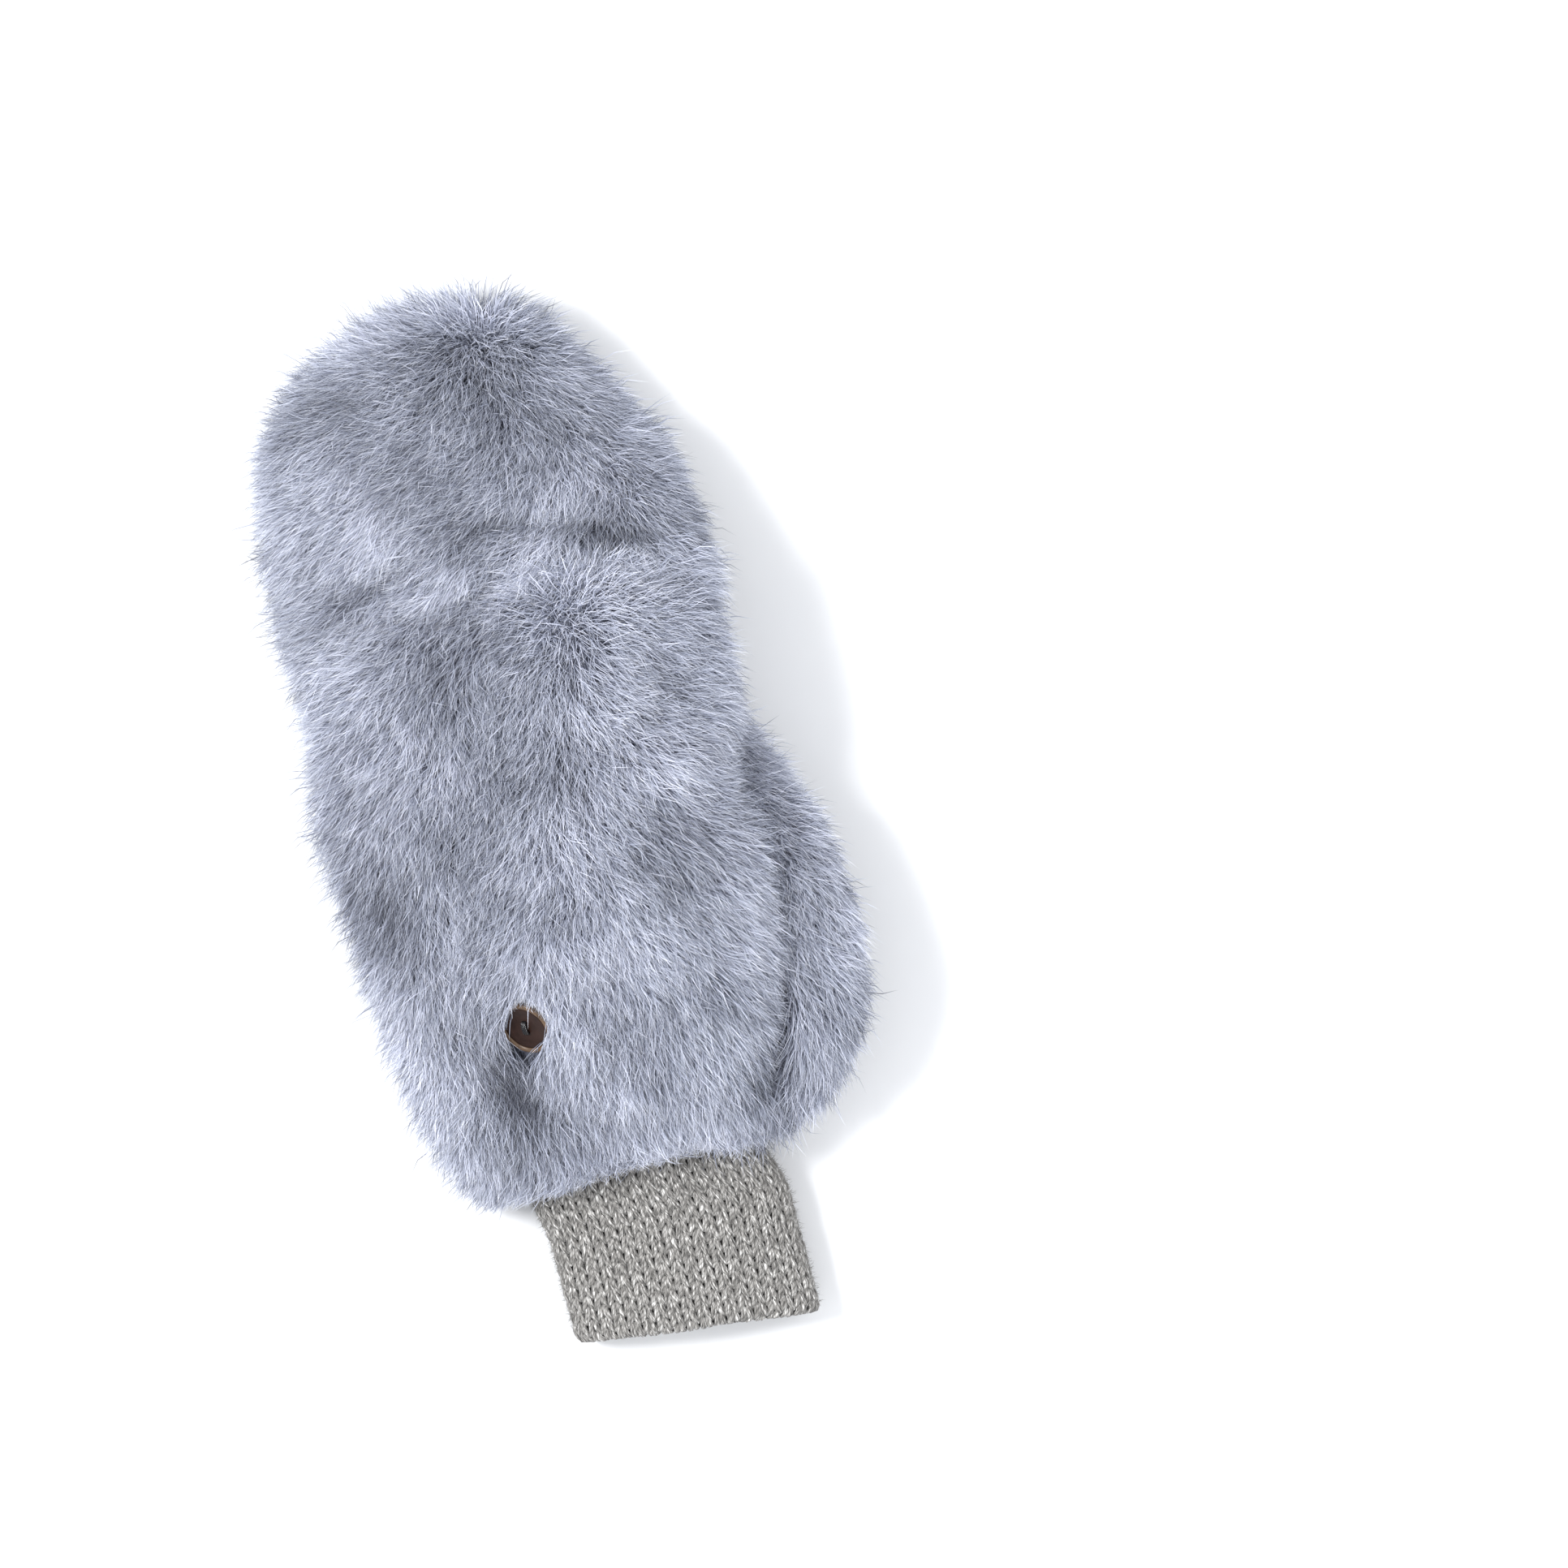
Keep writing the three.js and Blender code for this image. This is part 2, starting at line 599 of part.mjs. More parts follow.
// Where the cap's edge passes a point, and tests that keep each piece's locks clear of the others.
function edgeNear(point) {
  const half = columnAt(handTable, "right", seamPlace / mittenLength) * handWidth;
  const cosine = THREE.MathUtils.clamp(point.x / half, -1, 1);
  return point.z > backLevel ? seamAt(cosine) : Math.min(seamAt(cosine), lipAt(cosine));
}
function clearOfButton(point) {
  const away = Math.hypot(point.x - buttonFoot.x, point.y - buttonFoot.y);
  return away > buttonDiameter / 2 + buttonRoom || point.z < backLevel;
}
function clearOfThumb(point) {
  if (point.z > hiddenLevel) return true;
  return !formHolds(thumbPoint, thumbRoot + endRow, thumbTip - endRow, point, thumbRoom);
}
function clearOfCuff(point) {
  return point.y > cuffHem || !formHolds(cuffPoint, -cuffSlant, cuffHem, point, cuffRoom);
}
function clearOfHand(point) {
  return !formHolds(handPoint, cuffHem, tipPlace - endRow, point, handRoom);
}

const always = (value) => () => value;

// The cap's backing, grown by a distance, without its hollow.
function capForm(grow) {
  return sackSolid(handPoint, {
    around: handSides,
    steps: 9,
    from: capEdge,
    to: always(tipPlace - endRow),
    inset: -grow,
    bunching: endBunching,
    rimFrom: rimSetIn,
  });
}

function capSolid() {
  const inner = sackSolid(handPoint, {
    around: handSides,
    steps: 7,
    from: always(lipPlace - 2 * lipDrop),
    to: always(tipPlace - backingWall - hollowEndRow),
    inset: backingWall,
    bunching: endBunching,
  });
  const limits = { low: seamAt(1) + firstLocks, high: tipPlace - firstLocks / 2 };
  const isClear = (point) => point.y > edgeNear(point) + clearance && clearOfThumb(point);
  const backing = capForm(0).subtract(inner);
  const locks = furLocks(handPoint, backing, limits, capFlow, depthOnTable, isClear);
  return wasm.Manifold.union([capForm(0), ...locks]).subtract(inner);
}

// The body's backing, which steps in where it passes under the cap.
function bodyPoint(y, angle, inset) {
  return handPoint(y, angle, inset + tuckAt(y, angle));
}

// The body's backing and its hollow, each grown by a distance.
function bodyForm(grow) {
  return sackSolid(bodyPoint, {
    around: handSides,
    steps: 13,
    from: always(cuffHem),
    to: bodyEdge,
    inset: -grow,
    bunching: bodyBunching,
    rimFrom: rimSetIn,
    rimTo: rimSetIn,
  });
}
function bodyHollow(grow) {
  return sackSolid(bodyPoint, {
    around: hollowSides,
    steps: 9,
    from: always(cuffHem - 2 * rimSetIn),
    to: always(tonguePlace + 2 * rimSetIn),
    inset: backingWall - grow,
  });
}

function bodySolid() {
  const limits = { low: cuffHem + firstLocks / 2, high: seamPlace - firstLocks };
  const isClear = (point) =>
    point.y < edgeNear(point) - clearance - seamRoom &&
    point.y > cuffHem - furDepth &&
    clearOfThumb(point) &&
    clearOfCuff(point) &&
    clearOfButton(point);
  const backing = bodyForm(0).subtract(bodyHollow(0)).subtract(thumbHoleSolid());
  const locks = furLocks(bodyPoint, backing, limits, bodyFlow, depthOnTable, isClear);
  const furred = wasm.Manifold.union([bodyForm(0), ...locks]);
  return furred.subtract(bodyHollow(0)).subtract(thumbHoleSolid()).subtract(buttonSeatSolid());
}

// The room over the button's foot, which keeps locks and backing off the button.
function buttonSeatSolid() {
  const radius = buttonDiameter / 2 + clearance;
  const seat = new THREE.CylinderGeometry(radius, radius, handHeight, 28);
  seat.rotateX(Math.PI / 2);
  seat.translate(0, 0, handHeight / 2);
  seat.applyQuaternion(new THREE.Quaternion().setFromUnitVectors(new THREE.Vector3(0, 0, 1), buttonNormal));
  seat.translate(buttonFoot.x, buttonFoot.y, buttonFoot.z);
  return solidOf(seat);
}

// The oval hole through the body's palm wall, over the thumb.
function thumbHoleSolid() {
  const oval = new THREE.Shape();
  oval.absellipse(thumbHoleX, thumbHoleY, thumbHoleAcross / 2, thumbHoleAlong / 2, 0, fullTurn);
  const depth = restFurDepth + thumbLift + backingWall + 2;
  const geometry = new THREE.ExtrudeGeometry(oval, { depth, bevelEnabled: false, curveSegments: 8 });
  return solidOf(geometry);
}

function thumbSolid() {
  const outer = sackSolid(thumbPoint, {
    around: thumbSides,
    steps: 12,
    from: always(thumbRoot + endRow),
    to: always(thumbTip - endRow),
    inset: 0,
  });
  const inner = sackSolid(thumbPoint, {
    around: thumbHollowSides,
    steps: 9,
    from: always(thumbRoot + backingWall + hollowEndRow),
    to: always(thumbTip - backingWall - hollowEndRow),
    inset: backingWall,
  });
  const limits = { low: thumbRoot + firstLocks, high: thumbTip - firstLocks / 2 };
  const isClear = (point) => clearOfHand(point) && point.y > cuffHem - 5 && clearOfCuff(point);
  const hand = bodyForm(clearance).add(capForm(clearance));
  const backing = outer.subtract(inner).subtract(hand);
  const locks = furLocks(thumbPoint, backing, limits, thumbFlow, depthOnTable, isClear);
  return wasm.Manifold.union([outer, ...locks]).subtract(inner).subtract(hand);
}

// The cuff's knitted tube, with wales as ridges along it that end where it is sewn in. The wales
// are evenly spaced round it.
function cuffSolid() {
  const samples = 360;
  const reached = girthAt(cuffPoint, cuffHem / 2, samples);
  const girth = reached[samples];
  const wales = Math.round(girth / walePitch);
  const evenAngle = (angle) => {
    const turn = reached.findIndex((value) => value >= (angle / fullTurn) * girth - clearance / 10);
    return (turn / samples) * fullTurn;
  };
  const end = (angle) => cuffEnd(evenAngle(angle));
  const ribbed = (y, angle, inset) => {
    const ridge = (waleDepth / 2) * (1 - Math.cos(angle * wales)) * ease(cuffHem + 4, cuffHem - 2, y);
    const folded = cuffFold * (1 - ease(0, cuffFoldLength, y - end(angle)));
    return cuffPoint(y, evenAngle(angle), inset + ridge + folded);
  };
  const outer = sackSolid(ribbed, {
    around: wales * 2,
    steps: 5,
    from: end,
    to: always(cuffTop),
    inset: 0,
    bunching: 0.7,
  });
  const inner = sackSolid(cuffPoint, {
    around: cuffHollowSides,
    steps: 6,
    from: always(-2 * cuffSlant),
    to: always(cuffTop + rimSetIn),
    inset: cuffWall,
  });
  const wrist = bodyForm(clearance).subtract(bodyHollow(-clearance));
  return outer.subtract(inner).subtract(wrist);
}

// The button: a turned disc with a raised rim round a shallow dish, and two holes.
function buttonSolid() {
  const radius = buttonDiameter / 2;
  const dish = radius - buttonRimWidth;
  const profile = [
    new THREE.Vector2(0, 0),
    new THREE.Vector2(radius - buttonEdge, 0),
    new THREE.Vector2(radius, buttonEdge),
    new THREE.Vector2(radius, buttonThickness - buttonEdge),
    new THREE.Vector2(radius - buttonEdge, buttonThickness),
    new THREE.Vector2(dish + buttonEdge / 2, buttonThickness),
    new THREE.Vector2(dish, buttonThickness - buttonDish * 0.7),
    new THREE.Vector2(dish / 2, buttonThickness - buttonDish),
    new THREE.Vector2(0, buttonThickness - buttonDish),
  ];
  const disc = new THREE.LatheGeometry(profile, 28);
  disc.rotateX(Math.PI / 2);
  let solid = solidOf(disc);
  for (const side of [-1, 1]) {
    const bore = holeDiameter / 2;
    const hole = new THREE.CylinderGeometry(bore, bore, 3 * buttonThickness, 12);
    hole.rotateX(Math.PI / 2);
    hole.translate(0, (side * holeSpacing) / 2, 0);
    solid = solid.subtract(solidOf(hole));
  }
  return solid;
}

// The thread: a bar across the dish with a leg down through each hole.
function threadSolid() {
  const radius = threadDiameter / 2;
  const bar = new THREE.CylinderGeometry(radius, radius, holeSpacing + threadDiameter, 10);
  const level = buttonThickness - buttonDish + clearance + radius;
  bar.translate(0, 0, level);
  let solid = solidOf(bar);
  for (const side of [-1, 1]) {
    const leg = new THREE.CylinderGeometry(radius * 0.95, radius * 0.95, level, 10);
    leg.rotateX(Math.PI / 2);
    leg.translate(0, (side * holeSpacing) / 2, level / 2);
    solid = solid.add(solidOf(leg));
  }
  return solid;
}

const table = tableBlock();
const mitten = new THREE.Group();
mitten.add(meshOf("flip_cap", capSolid().subtract(table), furColour, 0.9));
mitten.add(meshOf("hand_body", bodySolid().subtract(table), furColour, 0.9));
mitten.add(meshOf("thumb", thumbSolid().subtract(table), furColour, 0.9));
mitten.add(meshOf("knit_cuff", cuffSolid().subtract(table), cuffColour, 0.95));

const fastening = new THREE.Group();
fastening.position.copy(buttonFoot).addScaledVector(buttonNormal, clearance);
fastening.quaternion.setFromUnitVectors(new THREE.Vector3(0, 0, 1), buttonNormal);
const turned = new THREE.Group();
turned.rotation.z = -buttonTurn;
turned.add(meshOf("button", buttonSolid(), buttonColour, 0.35));
turned.add(meshOf("button_thread", threadSolid(), threadColour, 0.6));
fastening.add(turned);
mitten.add(fastening);

// The whole is centred over the middle of its footprint, with the table at 0.
const box = new THREE.Box3().setFromObject(mitten);
mitten.position.set(-(box.min.x + box.max.x) / 2, -(box.min.y + box.max.y) / 2, -box.min.z);

export default mitten;
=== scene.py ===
"""Looks of a left-hand fur mitten that lies palm down: pile, knitted cuff and button.

Lengths are millimetres in the mitten's own layout (X across the hand with the thumb at +X, Y from
the cuff's end to the fingers, Z up), and become metres in the shared frame when a mesh is made.
"""

import math

import bpy
import numpy as np
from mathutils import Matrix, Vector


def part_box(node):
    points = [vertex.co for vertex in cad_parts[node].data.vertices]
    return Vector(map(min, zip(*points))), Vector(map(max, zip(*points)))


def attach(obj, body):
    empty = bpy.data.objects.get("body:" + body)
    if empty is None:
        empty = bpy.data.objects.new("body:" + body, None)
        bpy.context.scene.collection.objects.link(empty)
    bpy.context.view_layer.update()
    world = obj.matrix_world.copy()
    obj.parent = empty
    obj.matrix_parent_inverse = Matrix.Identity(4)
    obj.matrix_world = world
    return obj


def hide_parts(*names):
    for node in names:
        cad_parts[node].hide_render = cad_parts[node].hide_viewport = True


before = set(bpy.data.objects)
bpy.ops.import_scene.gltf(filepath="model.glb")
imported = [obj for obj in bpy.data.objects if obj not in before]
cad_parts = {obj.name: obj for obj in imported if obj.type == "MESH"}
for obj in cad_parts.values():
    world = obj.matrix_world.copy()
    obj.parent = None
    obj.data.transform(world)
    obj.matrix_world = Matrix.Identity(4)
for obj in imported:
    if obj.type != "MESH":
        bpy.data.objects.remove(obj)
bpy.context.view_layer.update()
rng = np.random.default_rng(7)

# Sizes shared with the part's solids.
MITTEN_LENGTH = 284.0
HAND_WIDTH = 120.0
HAND_HEIGHT = 42.0
LOWER_SHARE = 0.42
BACKING = 3.0
FUR_DEPTH = 8.0
REST_DEPTH = 4.2
CLEARANCE = 0.35
DENTS_FROM, DENTS_FULL = 0.5, 0.95
SEAM_PLACE, SEAM_DROP = 205.0, 13.0
LIP_PLACE, LIP_DROP = 214.0, 26.0
TONGUE_PLACE = 227.0
TUCK_LENGTH, TUCK_LEAD, TUCK_DEPTH = 18.0, 11.0, 4.0
CAP_ROUNDING, CAP_DOMING = 72.0, 52.0
CAP_FULLNESS, DOME_FULLNESS = 2.25, 2.1
LIP_TURN, TONGUE_TURN, TUCK_TURN = (-0.25, 0.1), (-0.42, -0.12), (0.02, 0.24)
THUMB_TIP, THUMB_ROOT, THUMB_HEIGHT = 206.0, 48.0, 30.0
THUMB_ROUNDING, ROOT_ROUNDING, THUMB_FULLNESS = 24.0, 34.0, 2.2
THUMB_MIDDLE, THUMB_END_HEIGHT = 0.46, 0.25
THUMB_LIFT, LIFT_BLEND, LIFT_ON_PALM = 30.0, 30.0, 0.55
HOLE_X, HOLE_Y, HOLE_ACROSS, HOLE_ALONG = 31.0, 82.0, 34.0, 44.0
CUFF_WIDTH, CUFF_HEIGHT, CUFF_WALL, CUFF_SHIFT = 65.0, 20.0, 3.6, 1.5
CUFF_SLANT, CUFF_END_MIDDLE, CUFF_TOP, CUFF_HEM, CUFF_BLEND = 8.0, 1.2, 53.0, 46.0, 16.0
WALE_DEPTH = 0.9
BUTTON_DIAMETER, BUTTON_THICKNESS, BUTTON_RIM, BUTTON_DISH = 15.4, 2.8, 1.5, 0.9
BUTTON_X, BUTTON_Y, BUTTON_TURN = -20.2, 91.6, 0.3
SEAM_DENT, SEAM_DENT_REACH = 3.0, 7.0
HAND_OVAL, THUMB_OVAL, CUFF_OVAL = (0.66, 0.88), (0.7, 0.9), (0.7, 0.85)
TIP_PLACE = MITTEN_LENGTH - FUR_DEPTH
TURN = 2 * math.pi

# The lean of the cap's end and the pile's hem over the cuff.
CAP_LEAN, LEAN_FROM, LEAN_FULL = 6.6, 218.0, 254.0
PILE_HEM, HEM_SOFT = 49.3, 4.2
HEM_X, HEM_Y = (-45, -28, -4, 15, 32), (48.0, 50.0, 52.0, 50.5, 46.5)
GAP_TO_TABLE = 0.1

# The oval in which the button shows: its lean in degrees, its half width and half length, how
# ragged its edge is and the share of strands that cross it.
BUTTON_LEAN, BUTTON_SEEN, BUTTON_RAGGED, BUTTON_CROSSED = -40.0, (5.3, 9.8), 0.07, 0.008
# Strands over the button are lifted clear of it, where they are near enough to it and not deep
# below it. A strand that is cut back to less than a share of itself goes.
BUTTON_CLEAR, BUTTON_BESIDE, BUTTON_BELOW, BUTTON_REACH = 0.6, 0.5, 6, 20
SHORTEST_CUT, BUTTON_BARE, BARE_ABOVE = 0.3, 6.2, 25

# How strands of pile differ. Waves are rows of an amount, a size and a seed. A clump is a large
# group of strands and a tuft a small one, and these say how much each group differs.
ROOTS_GRID, ENDS_DENSER, STRAND_PLACES = 260, 1.6, (0.0, 0.48, 1.0)
WAY_WAVES, SHADE_WAVES = ((0.2, 15, 11), (0.1, 6, 13)), ((0.12, 20, 41), (0.07, 7, 43))
LENGTH_WAVES, HEIGHT_WAVES, HEM_WAVES = [(0.1, 12, 21)], [(0.1, 14, 31)], [(1.1, 9, 51)]
CLUMP = {"turn": 0.3, "length": 0.1, "height": 0.16, "shade": 0.07}
TUFT = {"turn": 0.3, "height": 0.14, "shade": 0.09}
PILE_STRANDS, THUMB_STRANDS, BODY_SPLIT = 64000, 50000, 124

# The cuff's stitches, and how far they are knitted on inside the fold.
STITCH_WIDTH, ROW_HEIGHT, YARN_RADIUS, KNITTED_INSIDE = 3.75, 3.3, 0.93, 22


def table(columns, *rows):
    """Rows of numbers as one array for each named column."""
    return dict(zip(columns.split(), np.array(rows, float).T))


# The hand's backing: left, right and edge are shares of the width, the others of their own size.
HAND = table(
    "along left right height rest lift edge",
    (0.162, -0.308, 0.285, 0.62, 0.25, 0, 0.04),
    (0.19, -0.35, 0.292, 0.7, 0.4, 0.1, 0),
    (0.243, -0.392, 0.305, 0.81, 1, 0.48, -0.11),
    (0.31, -0.425, 0.35, 0.91, 1, 0.86, -0.18),
    (0.373, -0.442, 0.372, 0.97, 1, 0.97, -0.19),
    (0.437, -0.45, 0.376, 1, 1, 1, -0.13),
    (0.5, -0.458, 0.35, 1, 1, 1, -0.07),
    (0.545, -0.458, 0.395, 0.98, 1, 0.97, -0.03),
    (0.6, -0.45, 0.415, 0.95, 1, 0.92, 0.02),
    (0.662, -0.437, 0.43, 0.92, 1, 0.82, 0.09),
    (0.704, -0.433, 0.428, 0.9, 1, 0.66, 0.13),
    (0.757, -0.428, 0.423, 0.88, 1, 0.34, 0.15),
    (0.827, -0.424, 0.42, 0.86, 1, 0, 0.15),
    (1, -0.38, 0.45, 0.86, 1, 0, 0.15),
)
THUMB = table(
    "along left right height rise",
    (0, -0.02, 0.43, 0.8, 0.1),
    (0.12, -0.09, 0.5, 0.95, 0.3),
    (0.25, -0.15, 0.535, 1.05, 0.36),
    (0.36, -0.13, 0.54, 1, 0.36),
    (0.48, -0.09, 0.515, 0.86, 0.3),
    (0.58, -0.04, 0.46, 0.82, 0.12),
    (0.7, 0.01, 0.415, 0.78, 0),
    (0.85, 0.09, 0.41, 0.68, 0),
    (1, 0.14, 0.41, 0.56, 0),
)
DENTS = table(
    "across along across_reach along_reach depth",
    (0.12, 0.771, 0.15, 0.05, 0.36),
    (-0.2, 0.745, 0.14, 0.05, 0.26),
    (-0.39, 0.458, 0.1, 0.12, 0.42),
    (-0.18, 0.29, 0.1, 0.12, 0.5),
    (0.26, 0.52, 0.15, 0.1, -0.34),
    (0.02, 0.63, 0.2, 0.1, -0.24),
    (-0.26, 0.86, 0.16, 0.14, -0.2),
)

# Directions in which the pile lies on the back: places, and headings in degrees from +X to +Y.
CAP_LIE = table(
    "x y heading",
    (18, 283, 70), (-6, 284, 160), (-26, 279, 182), (-46, 265, 192), (-56, 247, 196),
    (-58, 217, 206), (-6, 272, 179), (-23, 263, 192), (-36, 249, 205), (-14, 251, 205),
    (2, 264, 217), (6, 252, 238), (16, 259, 269), (21, 250, 282), (33, 251, 304),
    (30, 264, 319), (30, 276, 26), (42, 263, -23), (51, 247, -35), (57, 220, -41),
    (58, 203, -45), (41, 234, -60), (27, 236, -84), (13, 240, -116), (-4, 237, 208),
    (-22, 232, 208), (-45, 229, 213), (-35, 218, 212), (-16, 221, 191), (-1, 225, 188),
    (25, 221, -110), (33, 214, -102), (46, 209, -66), (-54, 195, 205), (5, 214, 206),
)
BODY_LIE = table(
    "x y heading",
    (-54, 189, 184), (-52, 176, -132), (-34, 190, 197), (-22, 193, 223), (-10, 195, -110),
    (-35, 173, -116), (-13, 167, -105), (10, 161, -84), (34, 163, -40), (45, 155, -27),
    (27, 207, -16), (41, 203, -23), (52, 199, -44), (-4, 207, -139), (7, 201, 200),
    (0, 196, 203), (22, 197, -6), (13, 202, 203), (19, 205, 198), (35, 198, -12),
    (45, 191, -36), (23, 190, -6),
    (38, 185, -29), (53, 184, -45), (23, 182, -43), (40, 173, -46), (14, 181, -68),
    (8, 176, -93), (2, 184, -125), (-3, 191, -138), (-12, 179, -110), (27, 170, -53),
    (39, 160, -9), (-58, 163, -126), (-18, 146, -102), (0, 148, -91), (16, 141, -64),
    (36, 132, -49), (18, 124, -72), (-7, 123, -116), (-57, 145, -122), (-45, 126, -110),
    (-29, 123, -87), (-61, 117, -135), (-50, 105, -105), (-35, 99, -87), (-2, 107, -99),
    (30, 104, -64), (11, 96, -78), (-5, 93, -87), (29, 77, -74), (43, 83, -78),
    (-53, 82, -99), (-35, 72, -110), (-20, 76, -99), (-3, 69, -86), (18, 56, -99),
    (31, 56, -110), (-46, 59, -99), (-26, 59, -105),
)
THUMB_LIE = table(
    "x y heading",
    (52, 140, -87), (59, 120, -75), (69, 106, -75), (57, 91, -84), (57, 67, -99),
    (44, 53, -110), (70, 85, -81), (30, 190, -80),
)

LIE_BLEND = 7.0

# Relief of the pile: places, reaches, turn of the long reach in degrees, how much higher (or
# lower) the pile stands, in mm, and how much lighter or darker it is painted. The last is painted
# light and shade: lighter on ridges, tufts and the gusset, darker in creases and valleys.
RELIEF = table(
    "x y long short turn raise shade",
    (-12, 207, 22, 4.0, 14, 1.8, 0.24),
    (7, 203, 13, 3.6, 38, 2.2, 0.42),
    (-12, 188, 7, 6, 0, -0.8, -0.14),
    (-45, 193, 14, 3.0, 22, 1.2, 0.1),
    (32, 198, 18, 5.0, 0, 1.2, 0.24),
    (-30, 213, 18, 3.0, 22, -2.6, -0.26),
    (2, 221, 12, 3.2, 20, -2.6, -0.26),
    (16, 216, 12, 2.6, -22, -3.2, -0.4),
    (33, 208, 10, 3.0, -12, -2.2, -0.28),
    (26, 226, 9, 5.0, 10, 1.5, 0.1),
    (-5, 192, 3, 6, -20, -1.2, -0.14),
    (1, 196, 12, 4.5, 25, 0.8, 0.2),
    (-55, 190, 4, 2.4, 12, -3.0, -0.6),
    (-47, 132, 9, 14, 14, -2.0, -0.34),
    (-40, 112, 7, 7, 0, -0.6, -0.12),
    (-58, 112, 6, 10, 0, 1.0, 0.12),
    (32, 145, 11, 5, -10, 1.4, 0.26),
    (-7, 124, 6, 6, 0, 1.0, 0.1),
    (-27, 74, 8, 11, 10, -2.6, -0.6),
    (-12, 66, 9, 7, 0, -0.8, -0.08),
    (6, 56, 16, 5, 0, 0.8, 0.12),
    (-6, 258, 22, 9, 66, 0.6, -0.06),
    (-12, 245, 12, 7, 50, -0.8, -0.12),
    (-50, 238, 14, 10, 60, 0.8, 0.08),
    (38, 166, 6, 3, 30, -1.4, -0.16),
    (47, 188, 8, 14, 10, 0.6, 0.04),
    (2, 274, 26, 8, -4, 0.4, 0.2),
    (66, 95, 8, 40, 0, 0, 0.14),
    (14, 52, 22, 5, 4, 0.8, 0.16),
    (52, 125, 2.5, 12, 4, 0.8, 0.16),
)


def ease(low, high, value):
    """Smooth step: 0 below low, 1 above high, and three squares less two cubes between."""
    share = np.clip((value - low) / (high - low), 0, 1)
    return share * share * (3 - 2 * share)


def mix(a, b, share):
    """Straight blend from a to b."""
    return a + (b - a) * share


def column(rows, name, along):
    """Smooth curve through a table's column: cubic pieces whose slopes come from the neighbours."""
    places, values = rows["along"], rows[name]
    last = len(places) - 1
    place = np.clip(along, places[0], places[-1])
    row = np.clip(np.searchsorted(places, place, side="left") - 1, 0, last - 1)
    before, after = np.maximum(row - 1, 0), np.minimum(row + 2, last)
    span = places[row + 1] - places[row]
    share = (place - places[row]) / span
    slope_from = (values[row + 1] - values[before]) / (places[row + 1] - places[before]) * span
    slope_to = (values[after] - values[row]) / (places[after] - places[row]) * span
    square, cube = share**2, share**3
    return (
        (2 * cube - 3 * square + 1) * values[row]
        + (cube - 2 * square + share) * slope_from
        + (3 * square - 2 * cube) * values[row + 1]
        + (cube - square) * slope_to
    )


def rounding(share, fullness):
    """What a round end keeps of its size: the superellipse of that fullness."""
    return (1 - np.clip(share, 0, 1) ** fullness) ** (1 / fullness)


def bent(value, power):
    """A sine or cosine raised to a power, with its sign kept."""
    return np.sign(value) * np.abs(value) ** power


def on_palm(turn, angle):
    """How much of an edge's palm form holds at an angle round the hand."""
    return 1 - ease(turn[0], turn[1], np.sin(angle))


def cap_edge(angle):
    """The cap's open edge: a parabola of the cosine for the joint, another for the lip."""
    square = np.cos(angle) ** 2
    seam = SEAM_PLACE - SEAM_DROP * square
    lip = LIP_PLACE - LIP_DROP * square
    return mix(seam, lip, on_palm(LIP_TURN, angle))


def body_edge(angle):
    """The body's finger end: the cap's edge on the back, a tongue on the palm."""
    return mix(cap_edge(angle) - CLEARANCE, TONGUE_PLACE, on_palm(TONGUE_TURN, angle))


def dent_at(x, y):
    """How far the back sinks: a sum of bell curves, and one along the joint."""
    depth = 0
    for across, along, across_reach, along_reach, share in zip(*DENTS.values()):
        u = (x - across * HAND_WIDTH) / (across_reach * HAND_WIDTH)
        v = (y - along * MITTEN_LENGTH) / (along_reach * HAND_WIDTH)
        depth = depth + share * FUR_DEPTH * np.exp(-u * u - v * v)
    from_seam = (y - SEAM_PLACE + SEAM_DROP * (2 * x / HAND_WIDTH) ** 2) / SEAM_DENT_REACH
    return depth + SEAM_DENT * np.exp(-from_seam**2)


def hand_point(y, angle, inset):
    """The hand's backing: at each place along it an oval, squarer below, whose sides, height and
    lift onto the thumb come from the table, shrunk by superellipses towards the finger end."""
    y, angle, inset = np.broadcast_arrays(y, angle, np.asarray(inset, float))
    along = y / MITTEN_LENGTH
    left = column(HAND, "left", along) * HAND_WIDTH
    right = column(HAND, "right", along) * HAND_WIDTH
    height = column(HAND, "height", along) * HAND_HEIGHT
    rest = column(HAND, "rest", along) * REST_DEPTH
    narrow = rounding((y - TIP_PLACE + CAP_ROUNDING) / (CAP_ROUNDING - inset), CAP_FULLNESS)
    thin = rounding((y - TIP_PLACE + CAP_DOMING) / (CAP_DOMING - inset), DOME_FULLNESS)
    sine = np.sin(angle)
    power = np.where(sine < 0, *HAND_OVAL)
    half = ((right - left) / 2 - inset) * narrow
    x = (left + right) / 2 + half * bent(np.cos(angle), power)
    reach = height * np.where(sine < 0, LOWER_SHARE, 1 - LOWER_SHARE)
    z = rest + height * LOWER_SHARE + (reach - inset) * thin * bent(sine, power)
    level = np.clip((z - rest) / height, 0, 1)
    edge = column(HAND, "edge", along) * HAND_WIDTH
    on_thumb = ease(edge - LIFT_BLEND / 2, edge + LIFT_BLEND / 2, x)
    lift = column(HAND, "lift", along) * THUMB_LIFT * on_thumb * (1 - LIFT_ON_PALM * level)
    dent = dent_at(x, y) * ease(DENTS_FROM, DENTS_FULL, level) * thin
    return np.stack([x - CAP_LEAN * ease(LEAN_FROM, LEAN_FULL, y), y, z + lift - dent], -1)


